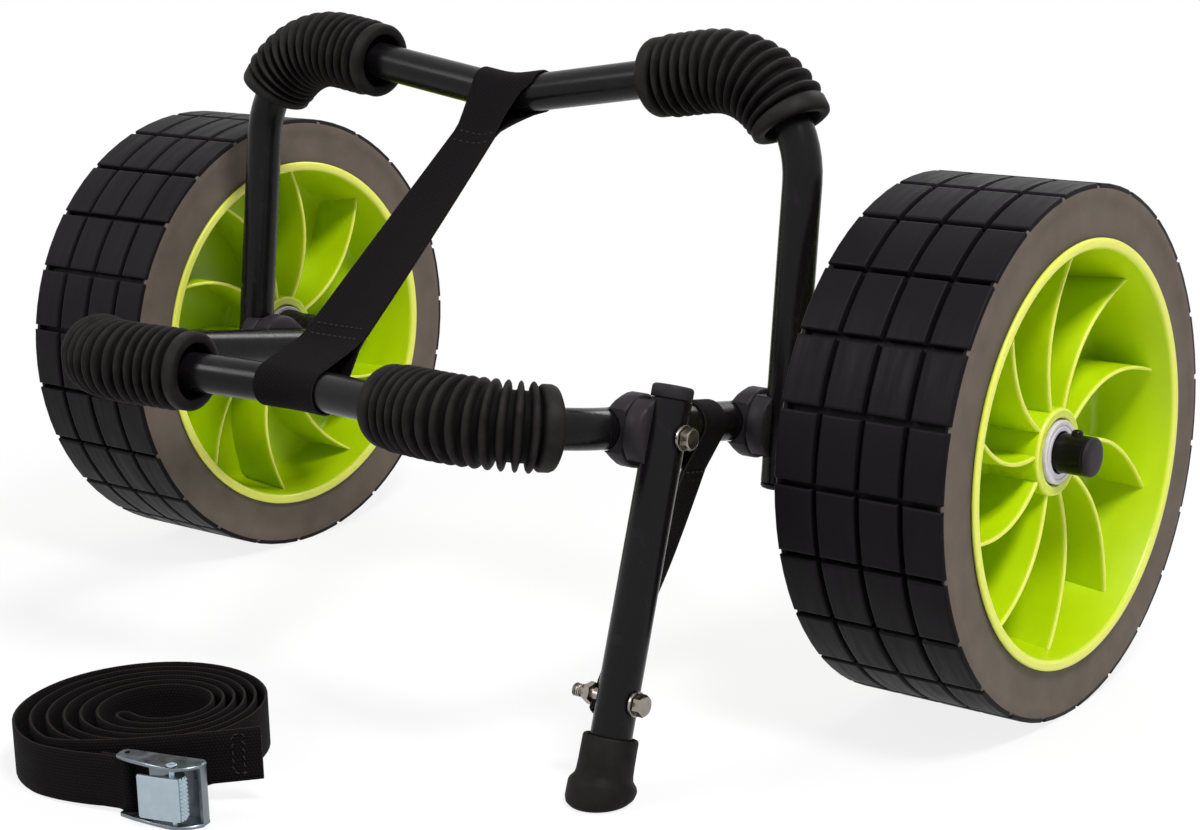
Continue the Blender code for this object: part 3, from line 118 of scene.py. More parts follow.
# How far the inner turns have slipped from the outer ones' centre
ROLL_LEAN = (7 * MM, 6 * MM)
ROLL_END_ANGLE = math.radians(-98)
POINTS_PER_TURN = 60
TAIL_BEND = (27 * MM, -324 * MM)
TAIL_END = (57 * MM, -301 * MM)
TAIL_LIFT = 11 * MM
TAIL_RUN = 26 * MM
LEAD_RUN = 14 * MM
LEAD_END_RUN = 8 * MM
BUCKLE_SPOT = (45.6 * MM, -343.8 * MM)
BAR_OFFSET = (-27.2 * MM, 7.6 * MM)
BUCKLE_LIFT = 1.9 * MM
LOOP_LENGTH = 14 * MM
LOOP_NECK = 0.4
LOOP_SEAM = 2.1 * MM
PIN_RADIUS = 1.6 * MM


def linear(code):
    """An sRGB hex colour as linear RGBA."""
    parts = [int(code[i:i + 2], 16) / 255 for i in (1, 3, 5)]
    return (*[p / 12.92 if p <= 0.04045 else ((p + 0.055) / 1.055) ** 2.4 for p in parts], 1.0)


def length(name, description, millimetres):
    """A size that a user may change, given in millimetres."""
    return bpy.props.FloatProperty(
        name=name, description=description, default=millimetres * MM, min=0.0,
        subtype="DISTANCE", unit="LENGTH", precision=4)


def colour(name, description, code):
    """A colour that a user may change."""
    return bpy.props.FloatVectorProperty(
        name=name, description=description, default=linear(code), size=4, min=0.0, max=1.0,
        subtype="COLOR")


class CartSizes(bpy.types.PropertyGroup):
    """Sizes of the cart's visible forms."""

    tube_radius: length("Tube radius", "Outer radius of the bent steel tube", 9.5)
    tube_wall: length("Tube wall", "Wall of the bent steel tube", 1.5)
    grip_radius: length("Grip radius", "Radius over the grip's ribs", 20.3)
    grip_valley: length("Grip valley", "Radius between the grip's ribs", 16.0)
    tyre_radius: length("Tyre radius", "Radius over the tread blocks", 127)
    tread_depth: length("Tread depth", "Depth of the grooves", 4.5)
    tread_groove: length("Tread groove", "Width of the grooves", 2.8)
    rim_radius: length("Rim radius", "Radius over the rim's lip", 102)
    rib_thickness: length("Rib thickness", "Thickness of a rim rib at its root", 2.6)
    strap_width: length("Strap width", "Width of the strap between the crossbars", 38)
    strap_thickness: length("Strap thickness", "Thickness of one layer of webbing", 1.3)
    stitch_length: length("Stitch length", "Distance from stitch to stitch", 3.4)
    tread_rows: bpy.props.IntProperty(
        name="Tread rows", description="Blocks round the tyre", default=23, min=6)
    tread_columns: bpy.props.IntProperty(
        name="Tread columns", description="Blocks across the tyre", default=4, min=1)
    rim_ribs: bpy.props.IntProperty(
        name="Rim ribs", description="Curved ribs round the hub", default=10, min=3)
    grip_ribs: bpy.props.IntProperty(
        name="Grip ribs", description="Ribs between a grip's collars", default=13, min=1)


class CartColours(bpy.types.PropertyGroup):
    """Colours of the cart's finishes."""

    steel: colour("Coated steel", "Powder coat on the tubes", "#100E10")
    plastic: colour("Black plastic", "Saddles, plugs and spacers", "#201C20")
    grip: colour("Grip rubber", "Ribbed corner grips and foot", "#0D0B0B")
    tread: colour("Tread", "Tyre blocks", "#100D10")
    # Painted light: the tyre's sides are the same foam as the tread, drawn lighter and browner for the light
    # on them
    sidewall: colour("Sidewall", "Sides of the tyre", "#61574F")
    lime: colour("Lime plastic", "Rim, hub and ribs", "#B8D400")
    # Painted highlight: the paler lime that the thin edges of rim and ribs take
    lime_edge: colour("Lime edge", "Thin edges of the rim, where light comes through", "#E0E45C")
    nylon: colour("Nylon", "Hub bushes", "#D9D4DB")
    zinc: colour("Zinc", "Lever of the buckle", "#B4BFC7")
    # Painted shade: the frame gets a darker, duller copy of the lever's zinc, for the dimmer reflections that
    # it shows
    zinc_dull: colour("Dull zinc", "Frame of the buckle", "#7F878E")
    bolt: colour("Bolt steel", "Bolts, nuts and washers", "#A39C92")
    webbing: colour("Webbing", "Woven straps", "#100D0F")
    # Partly painted highlight: the lighter line along both edges of a strap stands for the tighter selvedge
    # weave and for light on the edges
    selvedge_highlight: colour("Selvedge", "Tight edges of the woven straps", "#2A2321")
    thread: colour("Thread", "Stitching", "#2A2220")


# Materials
class Nodes:
    """Shorthand for the nodes of one tree. An input that is given a socket is linked to it."""

    def __init__(self, tree):
        self.tree = tree

    def add(self, kind, values=None, **settings):
        """A new node. settings are its own properties and values its inputs."""
        made = self.tree.nodes.new(kind)
        for key, value in settings.items():
            setattr(made, key, value)
        for key, value in (values or {}).items():
            if isinstance(value, bpy.types.NodeSocket):
                self.tree.links.new(value, made.inputs[key])
            else:
                made.inputs[key].default_value = value
        return made

    def calc(self, operation, *values):
        """A sum on numbers and sockets."""
        return self.add("ShaderNodeMath", dict(enumerate(values)), operation=operation).outputs[0]

    def noise(self, place, size, detail=2.0):
        """Noise with features of that size."""
        values = {"Vector": place, "Scale": 1 / size, "Detail": detail}
        return self.add("ShaderNodeTexNoise", values).outputs[0]

    def stretched(self, place, scale):
        return self.add("ShaderNodeMapping", {"Vector": place, "Scale": scale}).outputs[0]

    def mark(self, name):
        """A value that the mesh carries."""
        return self.add("ShaderNodeAttribute", attribute_name=name).outputs["Fac"]

    def mix(self, share, low, high):
        """A colour between two others."""
        return self.add("ShaderNodeMix", {0: share, 6: low, 7: high}, data_type="RGBA").outputs[2]

    def spread(self, value, low, high, start=0.0, end=1.0):
        """A value that runs from low to high while the given one runs from start to end."""
        return self.add("ShaderNodeMapRange", {
            "Value": value, "From Min": start, "From Max": end, "To Min": low, "To Max": high}).outputs[0]

    def seen(self):
        """1 for rays from the camera, from mirrors and through glass, 0 for those that light."""
        path = self.add("ShaderNodeLightPath").outputs
        direct = self.calc("MAXIMUM", path["Is Camera Ray"], path["Is Glossy Ray"])
        return self.calc("MAXIMUM", direct, path["Is Transmission Ray"])


class Finish(Nodes):
    """A new material with its shader and object coordinates."""

    def __init__(self, name, **sockets):
        self.made = bpy.data.materials.new(name)
        self.made.use_nodes = True
        super().__init__(self.made.node_tree)
        self.shader = self.tree.nodes["Principled BSDF"]
        for key, value in sockets.items():
            self.shader.inputs[key.replace("_", " ")].default_value = value
        self.place = self.add("ShaderNodeTexCoord").outputs["Object"]

    def dress(self, tone, gloss, height, strength, depth):
        """Give the shader its colour, its roughness and a relief, and return the material."""
        relief = self.add("ShaderNodeBump", {"Height": height, "Strength": strength, "Distance": depth})
        for name, socket in (("Base Color", tone), ("Roughness", gloss), ("Normal", relief.outputs[0])):
            if socket is not None:
                self.tree.links.new(socket, self.shader.inputs[name])
        return self.made


def shaded(base, factor):
    """A colour made lighter or darker."""
    return (*[min(1.0, part * factor) for part in base[:3]], 1.0)


def coated_steel(colours):
    """Polyester powder coat on mild steel: satin black with a faint orange peel and fine rubs."""
    it = Finish("powder_coated_steel", IOR=1.5, Specular_IOR_Level=0.14)
    # Orange peel is about 1 mm across on thin powder coat
    peel = it.noise(it.place, 1.1 * MM, 1.0)
    # Handling marks are long and faint, about 25 mm by 2 mm
    rubs = it.noise(it.stretched(it.place, (40.0, 400.0, 90.0)), 1.0, 3.0)
    worn = it.spread(rubs, 0.0, 1.0, 0.6, 0.82)
    tone = it.mix(worn, colours.steel, shaded(colours.steel, 2.2))
    return it.dress(tone, it.spread(rubs, 0.2, 0.32, 0.3, 0.8), peel, 0.12, 0.2 * MM)


def moulded_black(colours):
    """Injection-moulded ABS with a spark-eroded grain: even, dull black."""
    it = Finish("moulded_black_abs", IOR=1.53, Specular_IOR_Level=0.12)
    # The grain is about 0.35 mm, drawn at 0.7 mm so that it shows
    grain = it.add("ShaderNodeTexVoronoi", {"Vector": it.place, "Scale": 1 / (0.7 * MM)}, feature="F1")
    cloud = it.noise(it.place, 18 * MM)
    tone = it.mix(cloud, colours.plastic, shaded(colours.plastic, 1.5))
    return it.dress(tone, it.spread(cloud, 0.42, 0.58), grain.outputs[0], 0.15, 0.1 * MM)


def grip_rubber(colours):
    """Moulded TPE rubber: matt in the grooves, rubbed smoother and dustier on the crests, with painted shade
    in the grooves and a painted highlight on the crests.
    """
    it = Finish("moulded_grip_rubber", IOR=1.52, Specular_IOR_Level=0.06)
    # Dust, handling and the painted highlight vary over about 9 mm, the skin's pores over 0.6 mm
    dust_and_highlight = it.calc("MULTIPLY", it.mark("crest_highlight_and_dust"), it.noise(it.place, 9 * MM, 4.0))
    # Painted shade and highlight: the grooves at half the rubber's colour, the crests up to seven times
    # lighter, with dust
    tone = it.mix(dust_and_highlight, shaded(colours.grip, 0.5), shaded(colours.grip, 7.0))
    pores = it.noise(it.place, 0.6 * MM, 1.0)
    return it.dress(tone, it.spread(dust_and_highlight, 0.66, 0.46), pores, 0.2, 0.1 * MM)


def tyre_foam(name, base, rough):
    """Solid PU foam with a moulded skin: dull, faintly mottled, with fine pores and flow marks."""
    it = Finish(name, IOR=1.5, Specular_IOR_Level=0.08)
    tone = it.mix(it.noise(it.place, 14 * MM, 5.0), shaded(base, 0.78), shaded(base, 1.3))
    # Pores in the skin are 0.3 mm, drawn at 0.8 mm so that they show
    pores = it.noise(it.place, 0.8 * MM)
    # Flow marks from the mould run round the wheel, about 3 mm apart
    flow = it.noise(it.stretched(it.place, (330.0, 30.0, 30.0)), 1.0)
    gloss = it.spread(flow, rough - 0.08, rough + 0.08, 0.3, 0.7)
    return it.dress(tone, gloss, it.calc("MULTIPLY_ADD", flow, 0.5, pores), 0.22, 0.15 * MM)


def lime_plastic(colours):
    """Moulded polypropylene in lime green: satin and a little translucent, with a painted highlight of paler
    lime along thin edges.
    """
    it = Finish("moulded_lime_pp", IOR=1.49, Subsurface_Weight=0.12, Subsurface_Scale=4 * MM,
                Subsurface_Radius=(1.0, 1.0, 0.2))
    # Flow of the melt gives clouds about 30 mm across, and the grain is 0.9 mm
    cloud = it.noise(it.place, 30 * MM)
    body = it.mix(cloud, shaded(colours.lime, 0.9), shaded(colours.lime, 1.08))
    # Painted highlight: paler lime along the marked thin edges
    tone = it.mix(it.mark("edge"), body, colours.lime_edge)
    return it.dress(tone, it.spread(cloud, 0.3, 0.42), it.noise(it.place, 0.9 * MM, 1.0), 0.06, 0.1 * MM)


def nylon(colours):
    """Natural nylon 6: milky off-white, slightly waxy, with turning marks from its mould."""
    it = Finish("natural_nylon", IOR=1.53, Roughness=0.4, Subsurface_Weight=0.2, Subsurface_Scale=2 * MM)
    tone = it.mix(it.noise(it.place, 5 * MM, 3.0), shaded(colours.nylon, 0.82), colours.nylon)
    return it.dress(tone, None, it.noise(it.place, 0.7 * MM), 0.1, 0.1 * MM)


def plated(name, bright, dull, rough):
    """Plate over steel: cloudy, with a fine grain. Its tone runs from dull to bright."""
    it = Finish(name, Metallic=1.0)
    # Passivation clouds are about 5 mm across, plating grain 0.5 mm
    cloud = it.noise(it.place, 5 * MM, 3.0)
    gloss = it.spread(cloud, rough - 0.1, rough + 0.1, 0.3, 0.7)
    return it.dress(it.mix(cloud, dull, bright), gloss, it.noise(it.place, 0.5 * MM), 0.12, 0.05 * MM)


def webbing(colours):
    """Woven polypropylene webbing: rounded yarns in a brick pattern, dull black with a soft sheen, drawn
    darker between the yarns as painted shade and lighter on their tops as painted highlight.
    """
    it = Finish("woven_pp_webbing", IOR=1.49, Roughness=0.8, Specular_IOR_Level=0.06)
    uv = it.add("ShaderNodeSeparateXYZ", {0: it.add("ShaderNodeUVMap", uv_map="tape").outputs[0]})
    # Real yarns are 1.5 mm across and the picks 1.7 mm long
    yarn = it.calc("DIVIDE", uv.outputs[1], 1.5 * MM)
    pick = it.calc("DIVIDE", uv.outputs[0], 1.7 * MM)
    shifted = it.calc("MULTIPLY_ADD", it.calc("FLOOR", yarn), 0.5, pick)
    humps = [it.calc("SINE", it.calc("MULTIPLY", it.calc("FRACT", run), math.pi)) for run in (yarn, shifted)]
    height = it.calc("MULTIPLY", *humps)
    # Painted shade and highlight: the colour follows the yarns' height, darker between them and lighter on
    # their tops
    weave_shade_and_highlight = it.mix(height, shaded(colours.webbing, 0.35), shaded(colours.webbing, 1.7))
    return it.dress(it.mix(it.mark("selvedge_highlight"), weave_shade_and_highlight, colours.selvedge_highlight), None, height, 0.6, 0.3 * MM)


def sewing_thread(colours):
    """Bonded polyester thread: dark, twisted, with a slight gloss."""
    it = Finish("bonded_polyester_thread", IOR=1.55, Roughness=0.6, Specular_IOR_Level=0.1)
    twist = it.add("ShaderNodeTexWave", {
        "Vector": it.place, "Scale": 1 / (1.2 * MM), "Distortion": 1.0}).outputs[1]
    # Painted highlight and shade: the colour follows the twist, lighter on its ridges and darker in its
    # grooves
    tone = it.mix(twist, shaded(colours.thread, 0.7), shaded(colours.thread, 1.4))
    return it.dress(tone, None, twist, 0.4, 0.1 * MM)


MAKERS = {
    "steel": coated_steel,
    "plastic": moulded_black,
    "grip": grip_rubber,
    "tread": lambda colours: tyre_foam("foam_tyre_tread", colours.tread, 0.5),
    "sidewall": lambda colours: tyre_foam("foam_tyre_sidewall", colours.sidewall, 0.56),
    "lime": lime_plastic,
    "nylon": nylon,
    "zinc": lambda colours: plated("blue_zinc_plate", colours.zinc, linear("#93A7B0"), 0.34),
    # The frame's plate is a darker copy of the lever's zinc: painted shade
    "zinc_dull": lambda colours: plated(
        "worn_zinc_plate", colours.zinc_dull, shaded(colours.zinc_dull, 0.7), 0.36),
    "bolt": lambda colours: plated("plain_zinc_on_steel", colours.bolt, shaded(colours.bolt, 0.6), 0.3),
    "webbing": webbing,
    "thread": sewing_thread,
}


@cache
def surface(kind):
    """The finish of that kind, made once."""
    return MAKERS[kind](bpy.context.scene.cart_colours)


# Geometry node trees
def start_tree(name, **inputs):
    """A geometry node tree with named inputs: shorthand for its nodes, and its inputs' sockets."""
    tree = bpy.data.node_groups.new(name, "GeometryNodeTree")
    tree.interface.new_socket("Geometry", in_out="INPUT", socket_type="NodeSocketGeometry")
    for label, kind in inputs.items():
        tree.interface.new_socket(
            label.replace("_", " "), in_out="INPUT", socket_type="NodeSocket" + kind)
    tree.interface.new_socket("Geometry", in_out="OUTPUT", socket_type="NodeSocketGeometry")
    it = Nodes(tree)
    return it, it.add("NodeGroupInput").outputs


def end_tree(it, geometry, finish):
    """Make what the tree holds real, give it its material and end the tree."""
    real = it.add("GeometryNodeRealizeInstances", {"Geometry": geometry})
    dressed = it.add("GeometryNodeSetMaterial", {"Geometry": real.outputs[0], "Material": finish})
    it.add("NodeGroupOutput", {"Geometry": dressed.outputs[0]})
    return it.tree


@cache
def turned_array():
    """Copies of the mesh in rows round X and in columns along it."""
    it, given = start_tree("turned_array", Rows="Int", Columns="Int", Column_pitch="Float",
                           First_angle="Float", Finish="Material")
    rows, columns = given["Rows"], given["Columns"]
    index = it.add("GeometryNodeInputIndex").outputs[0]
    row = it.calc("FLOOR", it.calc("DIVIDE", index, columns))
    along = it.calc("MULTIPLY", it.calc("MODULO", index, columns), given["Column pitch"])
    angle = it.calc("MULTIPLY_ADD", row, it.calc("DIVIDE", math.tau, rows), given["First angle"])
    points = it.add("GeometryNodePoints", {
        "Count": it.calc("MULTIPLY", rows, columns),
        "Position": it.add("ShaderNodeCombineXYZ", {0: along}).outputs[0]})
    copies = it.add("GeometryNodeInstanceOnPoints", {
        "Points": points.outputs[0], "Instance": given["Geometry"],
        "Rotation": it.add("ShaderNodeCombineXYZ", {0: angle}).outputs[0]})
    return end_tree(it, copies.outputs[0], given["Finish"])


@cache
def stitched_line():
    """A stitch at each step along the lines of the mesh."""
    it, given = start_tree("stitched_line", Stitch_length="Float", Thread_radius="Float", Finish="Material")
    step, thick = given["Stitch length"], given["Thread radius"]
    line = it.add("GeometryNodeMeshToCurve", {0: given["Geometry"]})
    points = it.add("GeometryNodeCurveToPoints", {"Curve": line.outputs[0], "Length": step}, mode="LENGTH")
    facing = it.add("FunctionNodeAlignRotationToVector", {"Vector": points.outputs["Tangent"]}, axis="X")
    size = it.add("ShaderNodeCombineXYZ", {0: it.calc("MULTIPLY", step, 0.36), 1: thick, 2: thick})
    bead = it.add("GeometryNodeMeshUVSphere", {"Segments": 8, "Rings": 6, "Radius": 1.0})
    stitches = it.add("GeometryNodeInstanceOnPoints", {
        "Points": points.outputs[0], "Instance": bead.outputs[0], "Rotation": facing.outputs[0],
        "Scale": size.outputs[0]})
    return end_tree(it, stitches.outputs[0], given["Finish"])


@cache
def screw_thread():
    """A ridge wound round Z."""
    it, given = start_tree("screw_thread", Turns="Float", Height="Float", Radius="Float", Ridge="Float",
                           Finish="Material")
    spiral = it.add("GeometryNodeCurveSpiral", {
        "Resolution": 20, "Rotations": given["Turns"], "Start Radius": given["Radius"],
        "End Radius": given["Radius"], "Height": given["Height"]})
    outline = it.add("GeometryNodeCurvePrimitiveCircle", {
        "Resolution": 4, "Radius": given["Ridge"]}, mode="RADIUS")
    ridge = it.add("GeometryNodeCurveToMesh", {
        "Curve": spiral.outputs[0], "Profile Curve": outline.outputs[0], "Fill Caps": True})
    return end_tree(it, ridge.outputs[0], given["Finish"])


def grow(base, tree, **values):
    """Run a node tree on a bmesh and return the plain mesh that it makes as a bmesh."""
    data = bpy.data.meshes.new(tree.name)
    base.to_mesh(data)
    base.free()
    carrier = bpy.data.objects.new(tree.name, data)
    bpy.context.collection.objects.link(carrier)
    modifier = carrier.modifiers.new(tree.name, "NODES")
    modifier.node_group = tree
    for socket in tree.interface.items_tree:
        label = socket.name.replace(" ", "_")
        if socket.in_out == "INPUT" and label in values:
            modifier[socket.identifier] = values[label]
    ready = carrier.evaluated_get(bpy.context.evaluated_depsgraph_get())
    made = bpy.data.meshes.new_from_object(ready)
    bpy.data.objects.remove(carrier)
    if not made.polygons:
        raise RuntimeError(f"{tree.name} made no faces")
    grown = bmesh.new()
    grown.from_mesh(made)
    bpy.data.meshes.remove(made)
    return grown


# Mesh helpers
def new_ring(mesh, points, layer=None, value=0.0):
    """A vertex at each point. Where a layer is given, they carry the value in it."""
    made = [mesh.verts.new(point) for point in points]
    if layer is not None:
        for vertex in made:
            vertex[layer] = value
    return made


def circle(radius, sides, phase=0.0):
    """The corners of a polygon in a circle, as pairs."""
    angles = [math.tau * (i + phase) / sides for i in range(sides)]
    return [(radius * math.cos(angle), radius * math.sin(angle)) for angle in angles]


def skin(mesh, loops, closed=False, ends=False):
    """Join equal loops of vertices with quads. A closed skin joins the last to the first, and one
    with ends gets a face on each."""
    count = len(loops[0])
    for first, second in zip(loops, loops[1:] + loops[:closed]):
        for i in range(count):
            j = (i + 1) % count
            mesh.faces.new((first[i], first[j], second[j], second[i]))
    if ends:
        mesh.faces.new(loops[0])
        mesh.faces.new(loops[-1])
    return mesh


def lathe(profile, sides, axis="X", mark=None):
    """Turn points of (along, radius) in millimetres about an axis. Radius 0 at both ends closes a
    solid, any other profile is a closed loop. A mark names the layer for a third number."""
    mesh = bmesh.new()
    layer = mesh.verts.layers.float.new(mark) if mark else None
    solid = profile[0][1] == 0 and profile[-1][1] == 0
    loops = []
    for along, radius, *share in (profile[1:-1] if solid else profile):
        points = [(along * MM, *spot) if axis == "X" else (*spot, along * MM)
                  for spot in circle(radius * MM, sides)]
        loops.append(new_ring(mesh, points, layer, *share))
    skin(mesh, loops, closed=not solid)
    if solid:
        for loop, along in ((loops[0], profile[0][0] * MM), (loops[-1], profile[-1][0] * MM)):
            tip = mesh.verts.new((along, 0, 0) if axis == "X" else (0, 0, along))
            for i in range(sides):
                mesh.faces.new((loop[i], loop[(i + 1) % sides], tip))
    return mesh


def moved(mesh, matrix):
    """Place a bmesh in the cart's frame."""
    bmesh.ops.transform(mesh, matrix=matrix, verts=mesh.verts)
    return mesh


def make_piece(name, mesh, kind, body, stands_for=(), sharp=40):
    """Turn a bmesh into one piece that rides on a body and stands for its CAD nodes."""
    bmesh.ops.recalc_face_normals(mesh, faces=mesh.faces)
    data = bpy.data.meshes.new(name)
    mesh.to_mesh(data)
    mesh.free()
    data.materials.clear()
    for one in (kind if isinstance(kind, tuple) else (kind,)):
        data.materials.append(surface(one))
    data.shade_smooth()
    data.set_sharp_from_angle(angle=math.radians(sharp))
    made = bpy.data.objects.new(name, data)
    bpy.context.collection.objects.link(made)
    if body:
        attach(made, body)
    if stands_for:
        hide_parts(*stands_for)
    return made


def rounded_path(corners, bends):
    """Straight runs joined by arcs, each bend at an inner corner a radius."""
    corners = [Vector(corner) for corner in corners]
    path = [corners[0]]
    for before, here, after, radius in zip(corners, corners[1:], corners[2:], bends):
        back = (before - here).normalized()
        ahead = (after - here).normalized()
        half = back.angle(ahead) / 2
        centre = here + (back + ahead).normalized() * radius / math.sin(half)
        start = here + back * radius / math.tan(half) - centre
        turn = math.pi - 2 * half
        for step in range(BEND_STEPS + 1):
            angle = turn * step / BEND_STEPS
            path.append(centre + start * math.cos(angle) - back * radius * math.sin(angle))
    path.append(corners[-1])
    return path


def path_length(path):
    return sum((b - a).length for a, b in zip(path, path[1:]))


def along_path(path, distance):
    """The point at a distance along a path."""
    run = 0.0
    for a, b in zip(path, path[1:]):
        step = (b - a).length
        if distance <= run + step:
            return a.lerp(b, (distance - run) / step)
        run += step
    return path[-1].copy()


def ring_on_path(mesh, path, distance, normal, radius, sides, layer=None, value=0.0):
    """A ring square to a path in one plane. Its direction is taken over a few millimetres."""
    behind = along_path(path, max(distance - 3 * MM, 0))
    ahead = along_path(path, min(distance + 3 * MM, path_length(path)))
    across = (ahead - behind).normalized().cross(normal)
    centre = along_path(path, distance)
    points = [centre + normal * a + across * b for a, b in circle(radius, sides, 0.5)]
    return new_ring(mesh, points, layer, value)


def front_route():
    return rounded_path([
        (-AXLE_HALF, 0, 0), (-ARM_X, 0, 0), (-ARM_X, -ARM_LENGTH, 0), (0, DIP - ARM_LENGTH, 0),
        (ARM_X, -ARM_LENGTH, 0), (ARM_X, 0, 0), (AXLE_HALF, 0, 0),
    ], [AXLE_BEND, CORNER_BEND, DIP_BEND, CORNER_BEND, AXLE_BEND])


def rear_route():
    return rounded_path([
        (-LEG_X, 0, -LEG_BELOW), (-LEG_X, 0, LEG_HEIGHT), (0, 0, LEG_HEIGHT - DIP),
        (LEG_X, 0, LEG_HEIGHT), (LEG_X, 0, -LEG_BELOW),
    ], [CORNER_BEND, DIP_BEND, CORNER_BEND])


def tube_mesh(path, normal, outer, wall):
    """A tube wall swept along a path in one plane, with its cut ends rounded a little."""
    mesh = bmesh.new()
    total = path_length(path)
    edge = 0.4 * MM
    runs = [path_length(path[:i + 1]) for i in range(len(path))]
    stations = [(0.0, outer - edge), (edge, outer)]
    stations += [(run, outer) for run in runs if edge < run < total - edge]
    stations += [(total - edge, outer), (total, outer - edge)]
    stations += [(distance, outer - wall) for distance, _ in reversed(stations)]
    return skin(mesh, [ring_on_path(mesh, path, distance, Vector(normal), radius, TUBE_SIDES)
                       for distance, radius in stations], closed=True)


# Webbing
def tape_row(points, normals, thick):
    """The upper and the lower points across a tape, from those in its middle."""
    return ([p + n * thick / 2 for p, n in zip(points, normals)],
            [p - n * thick / 2 for p, n in zip(points, normals)])


def tape_mesh(rows, closed=False):
    """A woven tape. Each row holds its upper and its lower points across the tape. The UV map
    holds metres along and across it."""
    mesh = bmesh.new()
    layer = mesh.loops.layers.uv.new("tape")
    selvedge_highlight = mesh.verts.layers.float.new("selvedge_highlight")
    loops = []
    for upper, lower in rows:
        left = (upper[0] + lower[0]) / 2
        right = (upper[-1] + lower[-1]) / 2
        out = (right - left).normalized() * (upper[0] - lower[0]).length * 0.3
        loop = new_ring(mesh, [*upper, right + out, *reversed(lower), left - out])
        # Both edges carry the lighter selvedge colour, partly a painted highlight
        loop[len(upper)][selvedge_highlight] = 1.0
        loop[-1][selvedge_highlight] = 1.0
        loops.append(loop)
    count = len(rows[0][0])
    across = [0.0]
    for a, b in zip(rows[0][0], rows[0][0][1:]):
        across.append(across[-1] + (b - a).length)
    edge = 0.8 * MM
    wrapped = [*across, across[-1] + edge, *reversed(across), -edge, 0.0]
    run = 0.0
    for first, second in zip(loops, loops[1:] + loops[:closed]):
        step = sum((second[i].co - first[i].co).length for i in (0, count // 2, count - 1)) / 3
        for i in range(len(first)):
            j = (i + 1) % len(first)
            face = mesh.faces.new((first[i], first[j], second[j], second[i]))
            near, far, end = wrapped[i], wrapped[i + 1], run + step
            for corner, mark in zip(face.loops, ((run, near), (run, far), (end, far), (end, near))):
                corner[layer].uv = mark
        run += step
    for end in () if closed else (loops[0], loops[-1]):
        for corner, mark in zip(mesh.faces.new(end).loops, wrapped):
            corner[layer].uv = (0.0, mark)
    return mesh, run


def stitch_lines(name, lines, body, radius=0.45 * MM):
    """Rows of stitches along open lines of points."""
    mesh = bmesh.new()
    for line in lines:
        spots = new_ring(mesh, line)
        for a, b in zip(spots, spots[1:]):
            mesh.edges.new((a, b))
    sizes = bpy.context.scene.cart_sizes
    stitches = grow(mesh, stitched_line(), Stitch_length=sizes.stitch_length, Thread_radius=radius,
                    Finish=surface("thread"))
    return make_piece(name, stitches, "thread", body, sharp=80)


